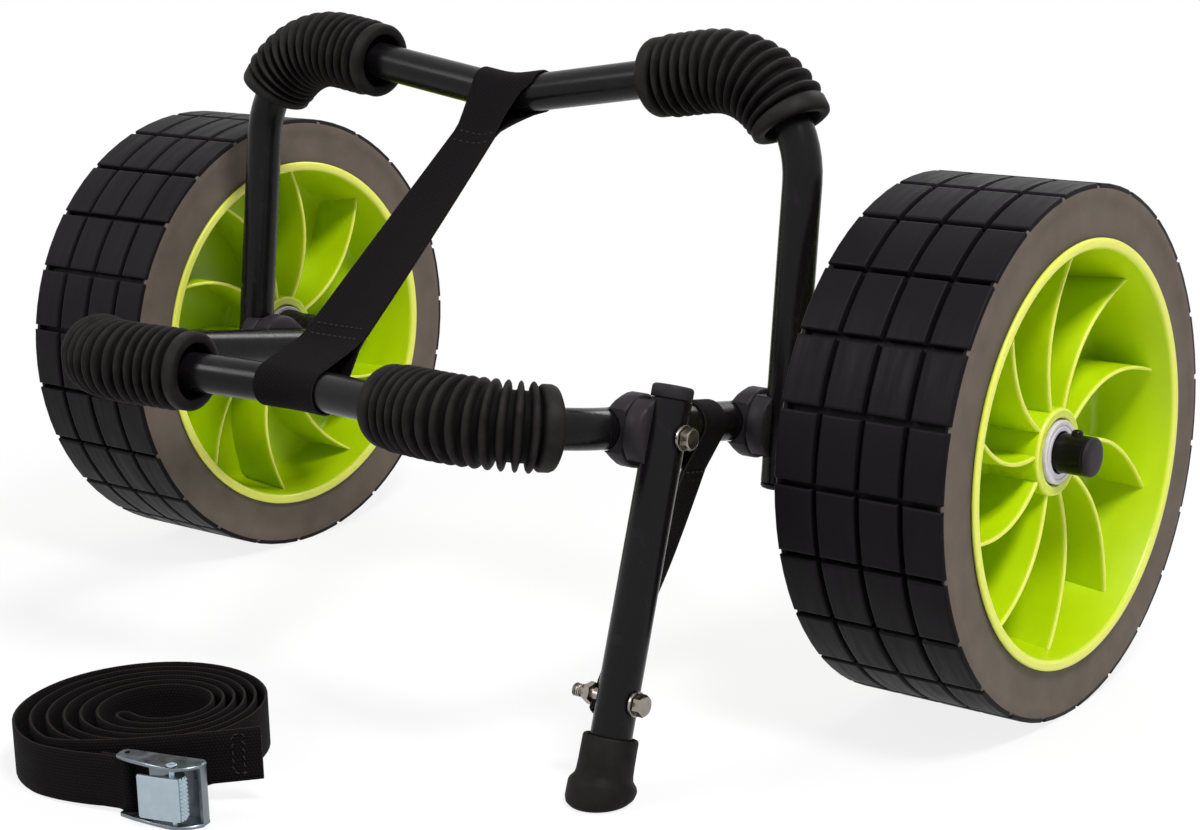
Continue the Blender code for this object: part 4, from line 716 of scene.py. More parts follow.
class CART_OT_stage(bpy.types.Operator):
    """Make the floor, the studio light and the camera"""

    bl_idname = "cart.stage"
    bl_label = "Stage"

    # The camera as it was fitted to the photograph: its place, its axes and its lens
    PLACE = (0.79955, -0.93135, 0.42514)
    RIGHT = (0.78718, 0.61625, -0.02442)
    UP = (-0.13146, 0.20634, 0.96961)
    BACK = (0.60256, -0.76004, 0.24344)
    LENS = 72.39
    # Place, size and power of each softbox, and the height that they aim at
    LIGHTS = {
        "key": ((1.2, -0.5, 2.1), 0.5, 47.0),
        "left": ((-1.2, -1.7, 1.7), 0.8, 21.0),
        "back": ((0.0, 1.8, 1.6), 0.8, 18.0),
    }
    AIM = 0.14
    # How bright the surroundings are where they only light the cart
    AMBIENT = 0.24
    FLOOR_SIZE = 6.0

    def execute(self, context):
        scene = context.scene
        camera = bpy.data.objects.new("camera", bpy.data.cameras.new("camera"))
        scene.collection.objects.link(camera)
        camera.data.sensor_width = 36.0
        camera.data.lens = self.LENS
        camera.data.clip_start = 0.01
        turn = Matrix((self.RIGHT, self.UP, self.BACK)).transposed().to_4x4()
        camera.matrix_world = Matrix.Translation(self.PLACE) @ turn
        scene.camera = camera
        for name, (place, size, power) in self.LIGHTS.items():
            lamp = bpy.data.objects.new(f"{name}_softbox", bpy.data.lights.new(f"{name}_softbox", "AREA"))
            lamp.data.shape = "SQUARE"
            lamp.data.size = size
            lamp.data.energy = power
            lamp.location = place
            aim = Vector((0.0, 0.0, self.AIM)) - Vector(place)
            lamp.rotation_euler = aim.to_track_quat("-Z", "Y").to_euler()
            scene.collection.objects.link(lamp)
        self.world(scene)
        floor = bmesh.new()
        bmesh.ops.create_grid(floor, x_segments=1, y_segments=1, size=self.FLOOR_SIZE)
        data = bpy.data.meshes.new("floor")
        floor.to_mesh(data)
        floor.free()
        data.materials.append(self.floor_finish())
        ground = bpy.data.objects.new("floor", data)
        ground.location.z = -0.1 * MM
        scene.collection.objects.link(ground)
        scene.view_settings.view_transform = "Standard"
        return {"FINISHED"}

    def world(self, scene):
        """White where the camera and reflections look, softer where it lights."""
        scene.world = bpy.data.worlds.new("studio")
        scene.world.use_nodes = True
        it = Nodes(scene.world.node_tree)
        background = it.tree.nodes["Background"]
        background.inputs["Color"].default_value = (1.0, 1.0, 1.0, 1.0)
        it.tree.links.new(it.spread(it.seen(), self.AMBIENT, 1.0), background.inputs["Strength"])

    def floor_finish(self):
        """Matt white studio board that keeps the cart's soft shadow."""
        it = Finish("white_studio_board", Roughness=0.9)
        # A faint mottle about 40 mm across, as on painted board
        tone = it.mix(it.noise(it.place, 40 * MM), linear("#F2F2F2"), linear("#F6F6F6"))
        it.tree.links.new(tone, it.shader.inputs["Base Color"])
        # The board is white of itself away from the cart, and keeps a soft shadow near it
        away = it.add("ShaderNodeVectorMath", {0: it.place}, operation="LENGTH").outputs["Value"]
        share = it.calc("MULTIPLY", it.seen(), it.spread(away, 0.84, 1.0, 0.3, 0.9))
        glow = it.add("ShaderNodeEmission", {"Strength": 1.0})
        mixed = it.add("ShaderNodeMixShader", {0: share, 1: it.shader.outputs[0], 2: glow.outputs[0]})
        it.tree.links.new(mixed.outputs[0], it.tree.nodes["Material Output"].inputs["Surface"])
        return it.made


class CART_OT_tubes(bpy.types.Operator):
    """Make the front frame, the rear frame and the kickstand from bent steel tube"""

    bl_idname = "cart.tubes"
    bl_label = "Bent tubes"

    def execute(self, context):
        sizes = context.scene.cart_sizes
        upright = [Vector((0, 0, KICK_TUBE_BOTTOM)), Vector((0, 0, KICK_TUBE_TOP))]
        for body, path, normal, plane in (
                ("front_frame", front_route(), (0, 0, 1), FRONT_PLANE),
                ("rear_frame", rear_route(), (0, 1, 0), REAR_PLANE),
                ("kickstand", upright, (1, 0, 0), KICK_PLANE)):
            mesh = tube_mesh(path, normal, sizes.tube_radius, sizes.tube_wall)
            make_piece(f"{body}_steel", moved(mesh, plane), "steel", body, [f"{body}_tube"])
        return {"FINISHED"}


class CART_OT_grips(bpy.types.Operator):
    """Make the four ribbed rubber grips round the frames' corners"""

    bl_idname = "cart.grips"
    bl_label = "Ribbed grips"

    # Share of a rib's pitch, share of its height
    RIB = ((0.0, 0.0), (0.08, 0.06), (0.13, 0.42), (0.2, 0.78), (0.31, 0.97), (0.38, 1.0), (0.45, 0.97),
           (0.56, 0.78), (0.63, 0.42), (0.68, 0.06), (0.76, 0.0))
    COLLAR = 7 * MM
    TOTAL = 90 * MM
    # How far each grip reaches down its side of the corner. The right ones have slid 4 mm
    ON_SIDE = {-1: 14 * MM, 1: 18 * MM}
    MOUTH = 14 * MM
    MOUTH_DEPTH = 10 * MM
    BORE_STEPS = 12
    SIDES = 44

    def execute(self, context):
        sizes = context.scene.cart_sizes
        for route, plane, normal, corner, body, name in (
                (front_route(), FRONT_PLANE, (0, 0, 1), (ARM_X, -ARM_LENGTH, 0), "front_frame", "front"),
                (rear_route(), REAR_PLANE, (0, 1, 0), (LEG_X, 0, LEG_HEIGHT), "rear_frame", "rear")):
            for side, hand in ((-1, "left"), (1, "right")):
                spot = Vector((side * corner[0], corner[1], corner[2]))
                mesh = moved(self.grip(route, spot, side, Vector(normal), sizes), plane)
                make_piece(f"{name}_grip_{hand}_rubber", mesh, "grip", body,
                           [f"{name}_grip_{hand}"], sharp=70)
        return {"FINISHED"}

    def middle(self, route, corner):
        """How far along a route its bend comes nearest to a corner."""
        best = (math.inf, 0.0)
        run = 0.0
        for a, b in zip(route, route[1:]):
            best = min(best, (((a + b) / 2 - corner).length, run + (b - a).length / 2))
            run += (b - a).length
        return best[1]

    def stations(self, sizes):
        """Distance, radius and share of painted highlight and dust along the grip's outside."""
        high = sizes.grip_radius
        low = sizes.grip_valley
        collar = high - 0.8 * MM
        edge = 1.8 * MM
        pitch = (self.TOTAL - 2 * self.COLLAR) / (sizes.grip_ribs + 0.25)
        mouth = [(0.0, collar - edge, 0.6), (edge * 0.3, collar - edge * 0.3, 0.8), (edge, collar, 1.0),
                 (self.COLLAR - 1.2 * MM, collar, 1.0), (self.COLLAR - 0.3 * MM, collar - 0.7 * MM, 0.7),
                 (self.COLLAR + 0.5 * MM, low, 0.0)]
        ribs = []
        for i in range(sizes.grip_ribs):
            for share, height in self.RIB:
                at = self.COLLAR + (i + share + 0.12) * pitch
                ribs.append((at, low + (high - low) * height, height))
        return mouth + ribs[1:] + [(self.TOTAL - at, *rest) for at, *rest in reversed(mouth)]

    def grip(self, route, corner, side, normal, sizes):
        mesh = bmesh.new()
        crest_highlight_and_dust = mesh.verts.layers.float.new("crest_highlight_and_dust")
        middle = self.middle(route, corner)
        start = middle - self.ON_SIDE[-1] if side < 0 else middle + self.ON_SIDE[1] - self.TOTAL
        bore = sizes.tube_radius + GAP
        mouth = [(0.0, self.MOUTH + 0.8 * MM, 0.3), (0.8 * MM, self.MOUTH, 0.1),
                 (self.MOUTH_DEPTH, self.MOUTH, 0.0), (self.MOUTH_DEPTH, bore, 0.0)]
        far = self.TOTAL - self.MOUTH_DEPTH
        span = far - self.MOUTH_DEPTH
        inner = [(self.TOTAL - at, *rest) for at, *rest in mouth]
        inner += [(far - span * i / self.BORE_STEPS, bore, 0.0) for i in range(1, self.BORE_STEPS)]
        loops = []
        # The left hand of each route runs from the side to the crossbar, the right hand back
        for distance, radius, share in self.stations(sizes) + inner + mouth[::-1]:
            at = start + (self.TOTAL - distance if side > 0 else distance)
            loops.append(ring_on_path(mesh, route, at, normal, radius, self.SIDES, crest_highlight_and_dust, share))
        return skin(mesh, loops, closed=True)


class CART_OT_tyres(bpy.types.Operator):
    """Make the two foam tyres with their rows of tread blocks"""

    bl_idname = "cart.tyres"
    bl_label = "Tyres"

    WIDTH = 86 * MM
    SEAT = 98.3 * MM
    SIDES = 138

    def execute(self, context):
        sizes = context.scene.cart_sizes
        for side, hand, phase in ((-1, "left", 172.0), (1, "right", 178.0)):
            place = Matrix.Translation((side * WHEEL_X, AXLE.y, AXLE.z))
            body = f"{hand}_wheel"
            mesh = moved(self.carcass(sizes), place)
            tyre = make_piece(f"{hand}_wheel_foam", mesh, ("tread", "sidewall"), body,
                              [f"{hand}_wheel_tyre"], sharp=50)
            # The sides, and the rounded shoulder within 0.7 mm of the tyre's edge, take the lighter sidewall
            # finish: painted light on the sides and a painted highlight line along the edge of the tread
            for face in tyre.data.polygons:
                radius = math.hypot(face.center.y - AXLE.y, face.center.z - AXLE.z)
                aside = abs(face.center.x - place.translation.x)
                low = radius < sizes.tyre_radius - sizes.tread_depth * 1.1
                face.material_index = 1 if low or aside > self.WIDTH / 2 - 0.7 * MM else 0
            pitch = (self.WIDTH + sizes.tread_groove) / sizes.tread_columns
            blocks = grow(self.block(sizes), turned_array(), Rows=sizes.tread_rows,
                          Columns=sizes.tread_columns, Column_pitch=pitch,
                          First_angle=math.radians(phase), Finish=surface("tread"))
            make_piece(f"{hand}_wheel_tread", moved(blocks, place), ("tread", "sidewall"), body,
                       sharp=75)
        return {"FINISHED"}

    def carcass(self, sizes):
        """The ring under the blocks, with a slightly dished sidewall that stands up round them."""
        half = self.WIDTH / 2 / MM
        seat = self.SEAT / MM
        floor = (sizes.tyre_radius - sizes.tread_depth) / MM
        brow = sizes.tyre_radius / MM - 1.2
        side = [
            (half - 1.0, seat), (half - 0.3, seat + 1.2), (half, seat + 3), (half - 0.5, seat + 9),
            (half - 0.6, floor - 8), (half - 0.2, floor - 3.4), (half + 0.15, floor - 2.2),
            (half + 0.15, brow - 1.6), (half - 0.2, brow - 0.5), (half - 1.0, brow),
            (half - 2.6, brow - 0.3), (half - 4.0, floor)]
        return lathe(side + [(-x, radius) for x, radius in reversed(side)], self.SIDES)

    def block(self, sizes):
        """One tread block: a curved top with eased edges and drafted flanks down into the floor."""
        mesh = bmesh.new()
        top = sizes.tyre_radius
        floor = top - sizes.tread_depth
        groove = sizes.tread_groove
        wide = (self.WIDTH - (sizes.tread_columns - 1) * groove) / sizes.tread_columns
        row = math.tau / sizes.tread_rows
        half = row / 2 - groove / top / 2
        ease = 0.6 * MM
        turn = ease / top
        angles = [-half, turn - half, 2.4 * turn - half, -half / 3]
        angles += [-angle for angle in reversed(angles)]
        spots = [0.0, ease, 2.4 * ease, wide - 2.4 * ease, wide - ease, wide]
        left = -self.WIDTH / 2
        grid = []
        for i, angle in enumerate(angles):
            line = []
            for k, spot in enumerate(spots):
                rim = i in (0, len(angles) - 1) or k in (0, len(spots) - 1)
                radius = top - ease * 0.8 if rim else top
                line.append(mesh.verts.new((left + spot, radius * math.cos(angle + row / 2),
                                            radius * math.sin(angle + row / 2))))
            grid.append(line)
        for a, b in zip(grid, grid[1:]):
            for k in range(len(a) - 1):
                mesh.faces.new((a[k], a[k + 1], b[k + 1], b[k]))
        rim = grid[0] + [line[-1] for line in grid[1:]] + grid[-1][-2::-1]
        rim += [line[0] for line in grid[-2:0:-1]]
        spots = []
        for vertex in rim:
            across = Vector((0, vertex.co.y, vertex.co.z)).normalized()
            spots.append(Vector((vertex.co.x, 0, 0)) + across * (floor - 0.5 * MM))
        return skin(mesh, [rim, new_ring(mesh, spots)])


class CART_OT_rims(bpy.types.Operator):
    """Make the two lime rims with their curved ribs, and the nylon bushes in their hubs"""

    bl_idname = "cart.rims"
    bl_label = "Rims"

    WIDTH = 90.6 * MM
    HUB = 21.5 * MM
    HUB_HALF = 32.5 * MM
    BARREL = 94.5 * MM
    SWEEP = math.radians(18)
    BOW = 5.5 * MM
    RIB_STEPS = 14
    SIDES = 120

    def execute(self, context):
        sizes = context.scene.cart_sizes
        for side, hand, phase in ((-1, "left", 83.7), (1, "right", 85.0)):
            place = Matrix.Translation((side * WHEEL_X, AXLE.y, AXLE.z))
            body = f"{hand}_wheel"
            make_piece(f"{hand}_wheel_rim_shell", moved(self.shell(sizes), place), "lime", body,
                       [f"{hand}_wheel_rim"], sharp=50)
            ribs = grow(self.rib(sizes, side), turned_array(), Rows=sizes.rim_ribs, Columns=1,
                        Column_pitch=0.0, First_angle=math.radians(phase), Finish=surface("lime"))
            make_piece(f"{hand}_wheel_rim_ribs", moved(ribs, place), "lime", body, sharp=50)
            for end, name in ((-1, "left"), (1, "right")):
                make_piece(f"{hand}_wheel_bush_{name}_nylon", moved(self.bush(sizes, end), place), "nylon",
                           body, [f"{hand}_wheel_bush_{name}"], sharp=40)
        return {"FINISHED"}

    def shell(self, sizes):
        """Barrel, lips, web and hub in one turning, with the share of painted edge highlight."""
        lip = sizes.rim_radius / MM
        half = self.WIDTH / 2 / MM
        hub = self.HUB / MM
        end = self.HUB_HALF / MM
        right = [
            (20.5, 11.2, 0), (20.5, 16.3, 0), (end - 0.5, 16.3, 0.6), (end, 16.8, 1), (end, 17.6, 0.5),
            (end, 19.4, 0.3), (end, 20.2, 1), (end - 0.6, 20.9, 0.8), (end - 2, 21.1, 0),
            (7, hub - 0.3, 0), (4.8, hub + 0.3, 0), (3.6, hub + 1.6, 0), (3, hub + 4, 0), (3, 60, 0),
            (3, 88, 0), (3.5, 90.4, 0), (4.8, 91.9, 0), (7, 92.7, 0), (25, 94.6, 0), (half - 2, 96.6, 0),
            (half - 1, 97, 0.4), (half - 0.3, 97.6, 1), (half, 98.3, 1), (half, lip - 0.9, 1),
            (half - 0.3, lip - 0.3, 1), (half - 0.9, lip, 0.8), (half - 1.6, lip, 0.3),
            (half - 2, lip - 0.4, 0), (half - 2, 98, 0)]
        return lathe(right + [(-x, *rest) for x, *rest in reversed(right)], self.SIDES, mark="edge")

    def rib(self, sizes, hand):
        """One rib from the hub to the barrel, through the web, thinner towards both free edges."""
        mesh = bmesh.new()
        edge = mesh.verts.layers.float.new("edge")
        start = 18.5 * MM
        end = self.BARREL + 1.0 * MM
        root = sizes.rib_thickness / 2
        loops = []
        for step in range(self.RIB_STEPS + 1):
            share = step / self.RIB_STEPS
            radius = start + (end - start) * share
            bow = self.BOW * math.sin(math.pi * share) / radius
            angle = hand * (self.SWEEP * (1 - share) + bow)
            tall = 31 * MM + (34.3 * MM - 31 * MM) * share
            # Height above the web, half thickness as a share of the root's, share of painted edge highlight
            half = [(tall, 0.42, 1), (tall - 0.4 * MM, 0.72, 1), (tall - 1.3 * MM, 0.78, 0.3),
                    (tall - 2.2 * MM, 0.8, 0), (0, 1, 0)]
            half += [(-x, *rest) for x, *rest in half[-2::-1]]
            loop = []
            for x, wide, light in half + [(x, -wide, light) for x, wide, light in reversed(half)]:
                turn = angle + wide * root / radius
                spot = (x, radius * math.cos(turn), radius * math.sin(turn))
                loop += new_ring(mesh, [spot], edge, light)
            loops.append(loop)
        return skin(mesh, loops, ends=True)

    def bush(self, sizes, end):
        """A flanged sleeve with a shallow ring cut in its face."""
        bore = sizes.tube_radius / MM + 0.5
        face = self.HUB_HALF / MM + 1.3
        deep = 20.8
        profile = [
            (deep, bore), (face - 0.4, bore), (face, bore + 0.4), (face, 12), (face - 0.4, 12.3),
            (face - 0.4, 12.9), (face, 13.2), (face, 14.9), (face - 0.4, 15.3), (deep, 15.3)]
        return lathe([(end * x, radius) for x, radius in profile], 64)


class CART_OT_axle_ends(bpy.types.Operator):
    """Make the tube plugs, the axle spacers and the snap buttons, and finish their springs"""

    bl_idname = "cart.axle_ends"
    bl_label = "Plugs, spacers and buttons"

    BUTTON_FROM_END = 7.5 * MM
    # From a wheel's middle to its spacer's end, in millimetres
    SPACER_FROM_WHEEL = 34.1
    # Where a spring's leaf stays with the axle and where it goes with the button, in millimetres up
    LEAF = (-6.5, 4.0)

    def execute(self, context):
        outer = context.scene.cart_sizes.tube_radius / MM
        for side, hand in ((-1, "left"), (1, "right")):
            end = Matrix.Translation((side * AXLE_HALF, 0, 0)) @ Matrix.Rotation(-side * math.pi / 2, 4, "Y")
            leg = Matrix.Translation((side * LEG_X, 0, -LEG_BELOW))
            near = side * (ARM_X + AXLE_BEND + GAP) / MM
            far = side * (WHEEL_X / MM - self.SPACER_FROM_WHEEL)
            spot = Matrix.Translation((side * (AXLE_HALF - self.BUTTON_FROM_END), 0, 0))
            for name, last, mesh, place, kind, body, slot in (
                    ("axle_plug", "cap", self.plug(outer, 2.5, 2.6), FRONT_PLANE @ end,
                     "plastic", "front_frame", "plastic"),
                    ("rear_leg_plug", "cap", self.plug(outer, 2.5, 10), REAR_PLANE @ leg,
                     "plastic", "rear_frame", "plastic"),
                    ("axle_spacer", "sleeve", self.spacer(outer, near, far, side), FRONT_PLANE,
                     "plastic", "front_frame", "plastic"),
                    ("snap_button", "pin", self.button(outer), FRONT_PLANE @ spot,
                     "steel", f"{hand}_button", "zinc")):
                make_piece(f"{name}_{hand}_{last}", moved(mesh, place), kind, body,
                           [f"{name}_{hand}"], sharp=45)
            # The leaf is the CAD spring's own mesh, baked in place
            leaf = bmesh.new()
            leaf.from_mesh(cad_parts[f"button_spring_{hand}"].data)
            bmesh.ops.remove_doubles(leaf, verts=leaf.verts, dist=0.01 * MM)
            leaf = make_piece(f"button_spring_{hand}_leaf", leaf, "zinc", None, [f"button_spring_{hand}"],
                              sharp=30)
            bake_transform(leaf)
        return {"FINISHED"}

    def plug(self, outer, head, stem):
        """A cap on a tube's end at Z = 0, with its stem up the bore and a soft outer edge."""
        seat = -GAP / MM
        low = seat - head
        return lathe([
            (low - 0.25, 0), (low - 0.25, outer * 0.5), (low, outer - 1.6), (low + 0.35, outer - 0.7),
            (low + 1.1, outer - 0.1), (seat - 0.3, outer), (seat, outer - 0.3), (seat, outer - 2),
            (stem, outer - 2.1), (stem, 0)], TURNED_SIDES, axis="Z")

    def spacer(self, outer, near, far, side):
        """A sleeve with a flange at its wheel end and two shallow rings."""
        bore = outer + GAP / MM
        wide = 13.5
        run = abs(far - near)
        profile = [(0, bore), (run, bore), (run, wide - 0.4), (run - 0.4, wide), (run - 3, wide),
                   (run - 3.4, wide - 1)]
        for ring in (0.62, 0.3):
            profile += [(run * ring, wide - 1), (run * (ring - 0.02), wide - 1.5),
                        (run * (ring - 0.08), wide - 1.5), (run * (ring - 0.1), wide - 1)]
        profile += [(0.6, wide - 1), (0, wide - 1.5)]
        return lathe([(near + side * x, radius) for x, radius in profile], TURNED_SIDES)

    def button(self, outer):
        """A domed pin that stands out of its hole in the tube."""
        top = outer + 2.4
        wide = 2.8
        base = 6.1
        return lathe([
            (base - 1, 0), (base - 1, 4.4), (base, 4.4), (base, wide), (top - 1.6, wide),
            (top - 0.9, wide * 0.9), (top - 0.35, wide * 0.66), (top - 0.05, wide * 0.3), (top, 0)],
            24, axis="Z")


class CART_OT_saddles(bpy.types.Operator):
    """Make the moulded half saddles between the crossing tubes"""

    bl_idname = "cart.saddles"
    bl_label = "Saddles"

    BOSS = 17 * MM
    LENGTH = 28.6 * MM
    ROWS = 12
    BORE_STEPS = 14

    def execute(self, context):
        for side, hand in ((-1, "left"), (1, "right")):
            arm, leg = side * ARM_X, side * LEG_X
            self.half(f"fold_saddle_{hand}_inner", "front_frame", arm, leg, FOLD_BOLT, True)
            self.half(f"fold_saddle_{hand}_outer", "rear_frame", leg, arm, REAR_PLANE, False)
        self.half("kickstand_saddle_inner", "front_frame", ARM_X, LEG_X, KICK_BOLT, True)
        self.half("kickstand_saddle_outer", "kickstand", 0, ARM_X - LEG_X, KICK_PLANE, False)
        return {"FINISHED"}

    def half(self, name, body, own, other, place, along_arm):
        """A round boss about the bolt, with a trough for its own tube. Where the boss meets the
        trough it runs out in two pointed wings. The section is drawn across the tube."""
        towards = 1 if other > own else -1
        flat = abs(other - own) / 2 - 0.25 * MM
        bore = bpy.context.scene.cart_sizes.tube_radius + GAP
        lip = 1.5 * MM
        reach = math.acos(lip / bore)
        wing = bore * math.sin(reach)
        mesh = bmesh.new()
        loops = []
        for k in range(self.ROWS + 1):
            along = -self.LENGTH / 2 * math.cos(math.pi * k / self.ROWS)
            angles = [reach - 2 * reach * i / self.BORE_STEPS for i in range(self.BORE_STEPS + 1)]
            section = [(bore * math.cos(angle), bore * math.sin(angle)) for angle in angles]
            brow = max(math.sqrt(self.BOSS ** 2 - along ** 2), wing + 0.25 * MM)
            rise = brow - wing
            edge = [(lip + 0.1 * MM, wing + rise * 0.3), (lip + 0.8 * MM, brow - rise * 0.2),
                    (lip + 2.4 * MM, brow), (flat - 1.6 * MM, brow), (flat - 0.5 * MM, brow - 0.5 * MM),
                    (flat, brow - 1.6 * MM)]
            section += [(x, -z) for x, z in edge] + edge[::-1]
            loops.append(new_ring(mesh, [
                (own + towards * x, along, z) if along_arm else (own + towards * x, z, along)
                for x, z in section]))
        skin(mesh, loops, ends=True)
        make_piece(name + "_moulding", moved(mesh, place), "plastic", body, [name], sharp=45)


class CART_OT_fasteners(bpy.types.Operator):
    """Make the hexagon bolts, their threads, the washers and the lock nuts"""

    bl_idname = "cart.fasteners"
    bl_label = "Bolts, nuts and washers"

    PITCH = 1.0 * MM

    def execute(self, context):
        outer = context.scene.cart_sizes.tube_radius
        faces = (LEG_X + outer, ARM_X - outer)
        for side, hand in ((-1, "left"), (1, "right")):
            self.stack(f"fold_{hand}", "front_frame", FOLD_BOLT, side, faces, 2 * MM)
        self.stack("kick_pivot", "front_frame", KICK_BOLT, 1, faces, 2 * MM)
        cross = KICK_PLANE @ Matrix.Translation((0, 0, -KICK_BOLT_DISTANCE))
        self.stack("kick_cross", "kickstand", cross, 1, (outer, -outer - GAP - 3 * MM), 6 * MM)
        return {"FINISHED"}

    def stack(self, name, body, place, side, faces, tail):
        """Washer and head outside the outer face, lock nut and threaded tail behind the inner one."""
        outer, inner = faces
        washer_far = outer + GAP + WASHER_THICKNESS
        nut_near = inner - GAP
        nut_far = nut_near - NUT_HEIGHT
        tip = nut_far - tail
        turns = tail / self.PITCH - 0.7
        thread = grow(self.seed(), screw_thread(), Turns=turns, Height=turns * self.PITCH,
                      Radius=2.75 * MM, Ridge=0.36 * MM, Finish=surface("bolt"))
        moved(thread, Matrix.Translation((tip + 0.4 * MM, 0, 0)) @ Matrix.Rotation(math.pi / 2, 4, "Y"))
        place = place @ Matrix.Diagonal((side, 1, 1, 1))
        for form, mesh, cad in (
                ("hex_bolt", self.bolt((washer_far + GAP) / MM, tip / MM), [f"{name}_bolt"]),
                ("flat_washer", self.washer((outer + GAP) / MM, washer_far / MM), [f"{name}_washer"]),
                ("lock_nut", self.nut(nut_near / MM, nut_far / MM), [f"{name}_nut"]),
                ("thread", thread, ())):
            make_piece(f"{name}_{form}", moved(mesh, place), "bolt", body, cad, sharp=32)

    def seed(self):
        """A mesh for the modifier to sit on. The tree doesn't use it."""
        mesh = bmesh.new()
        mesh.verts.new((0, 0, 0))
        return mesh

    def hexagon(self, mesh, x, trim, slope):
        """A ring round a hexagon. With a slope its corners draw back along X, as a chamfer does."""
        flat = BOLT_HEAD_WIDTH / 2
        points = []
        for i in range(TURNED_SIDES):
            angle = math.tau * i / TURNED_SIDES
            within = (angle + math.pi / 6) % (math.pi / 3) - math.pi / 6
            radius = flat / math.cos(within)
            drop = slope * max(0.0, radius - flat * trim) * 0.6
            points.append((x - abs(drop) * (slope or 1), radius * math.cos(angle), radius * math.sin(angle)))
        return new_ring(mesh, points)

    def turned(self, outline, **ends):
        """Rings along X in millimetres: (x, radius) is round, and (x, trim, slope) a hexagon."""
        mesh = bmesh.new()
        loops = []
        for x, *form in outline:
            if len(form) == 2:
                loops.append(self.hexagon(mesh, x * MM, *form))
            else:
                loops.append(new_ring(mesh, [(x * MM, *spot) for spot in circle(form[0] * MM, TURNED_SIDES)]))
        return skin(mesh, loops, **ends)

    def bolt(self, head, tip):
        top = head + BOLT_HEAD_HEIGHT / MM
        flat = BOLT_HEAD_WIDTH / 2 / MM
        shank = 3
        root = 2.6
        return self.turned([
            (top - 0.25, 2.2), (top - 0.05, 3.2), (top, flat * 0.93), (top, 0.93, 1), (head + 0.25, 0, 0),
            (head, flat * 0.97), (head, shank), (tip + 8, shank), (tip + 7.6, root), (tip + 0.5, root),
            (tip, root - 0.5)], ends=True)

    def washer(self, near, far):
        soft = 0.15
        wide = WASHER_RADIUS / MM
        return lathe([(near, 3.15), (far, 3.15), (far, wide - soft), (far - soft, wide),
                      (near + soft, wide), (near, wide - soft)], TURNED_SIDES)

    def nut(self, near, far):
        """A hexagon at the near side and a round collar that holds the locking ring."""
        hex_end = near - NUT_HEIGHT / MM * 0.66
        flat = BOLT_HEAD_WIDTH / 2 / MM
        return self.turned([
            (near, 3.1), (near, flat * 0.97), (near, 0.97, 1), (hex_end, 0.97, -1), (hex_end, flat * 0.94),
            (far + 0.7, flat * 0.88), (far + 0.15, flat * 0.82), (far, flat * 0.72), (far, 3.1)], closed=True)


class CART_OT_kickstand_ends(bpy.types.Operator):
    """Make the kickstand's cap and its flared rubber foot"""

    bl_idname = "cart.kickstand_ends"
    bl_label = "Kickstand cap and foot"

    # How worn the foot's rubber looks, as the crests of the grips
    WORN = 0.7

    def execute(self, context):
        outer = context.scene.cart_sizes.tube_radius / MM
        top = (KICK_TUBE_TOP + GAP) / MM
        cap = lathe([
            (top - 10, 0), (top - 10, outer - 2.1), (top, outer - 2.1), (top, outer - 0.3),
            (top + 0.3, outer), (top + 4.6, outer), (top + 5.4, outer - 0.4), (top + 5.9, outer - 1.3),
            (top + 6, outer - 2.4), (top + 5.8, outer * 0.5), (top + 5.8, 0)], TURNED_SIDES, axis="Z")
        make_piece("kickstand_cap_moulding", moved(cap, KICK_PLANE), "plastic", "kickstand",
                   ["kickstand_cap"], sharp=50)
        foot = moved(self.foot(outer), KICK_PLANE)
        make_piece("kickstand_foot_rubber", foot, "grip", "kickstand", ["kickstand_foot"], sharp=50)
        return {"FINISHED"}

    def foot(self, outer):
        """A ferrule whose sole lies level on the ground while its tube leans."""
        mesh = bmesh.new()
        crest_highlight_and_dust = mesh.verts.layers.float.new("crest_highlight_and_dust")
        lean = (KICK_PLANE.to_3x3() @ Vector((0, 0, 1))).z
        loops = []
        # The sole's rings are square to the ground: radius and height, in millimetres
        for radius, height in ((9, 0.0), (12, 0.0), (13.9, 0.5), (15.2, 1.7), (15.7, 3.4)):
            spots = [Vector((x, y, 0)) for x, y in circle(radius * MM, TURNED_SIDES)]
            points = [(spot.x, spot.y, (height * MM - (KICK_PLANE @ spot).z) / lean) for spot in spots]
            loops.append(new_ring(mesh, points, crest_highlight_and_dust, self.WORN))
        # The others are square to the tube
        bottom = KICK_TUBE_BOTTOM / MM
        rim = bottom + 20
        bore = outer + GAP / MM
        for radius, along in (
                (15.6, bottom - 1.8), (15.1, bottom - 0.4), (14.2, bottom + 0.7), (13.3, bottom + 1.8),
                (12.9, bottom + 3.6), (12.7, bottom + 8), (12.6, rim - 1.2), (12.3, rim - 0.3), (11.9, rim),
                (11.3, rim - 0.3), (11.0, rim - 1.4), (10.9, rim - 3.6), (bore, rim - 4),
                (bore, bottom - GAP / MM)):
            points = [(x, y, along * MM) for x, y in circle(radius * MM, TURNED_SIDES)]
            loops.append(new_ring(mesh, points, crest_highlight_and_dust, self.WORN))
        return skin(mesh, loops, ends=True)


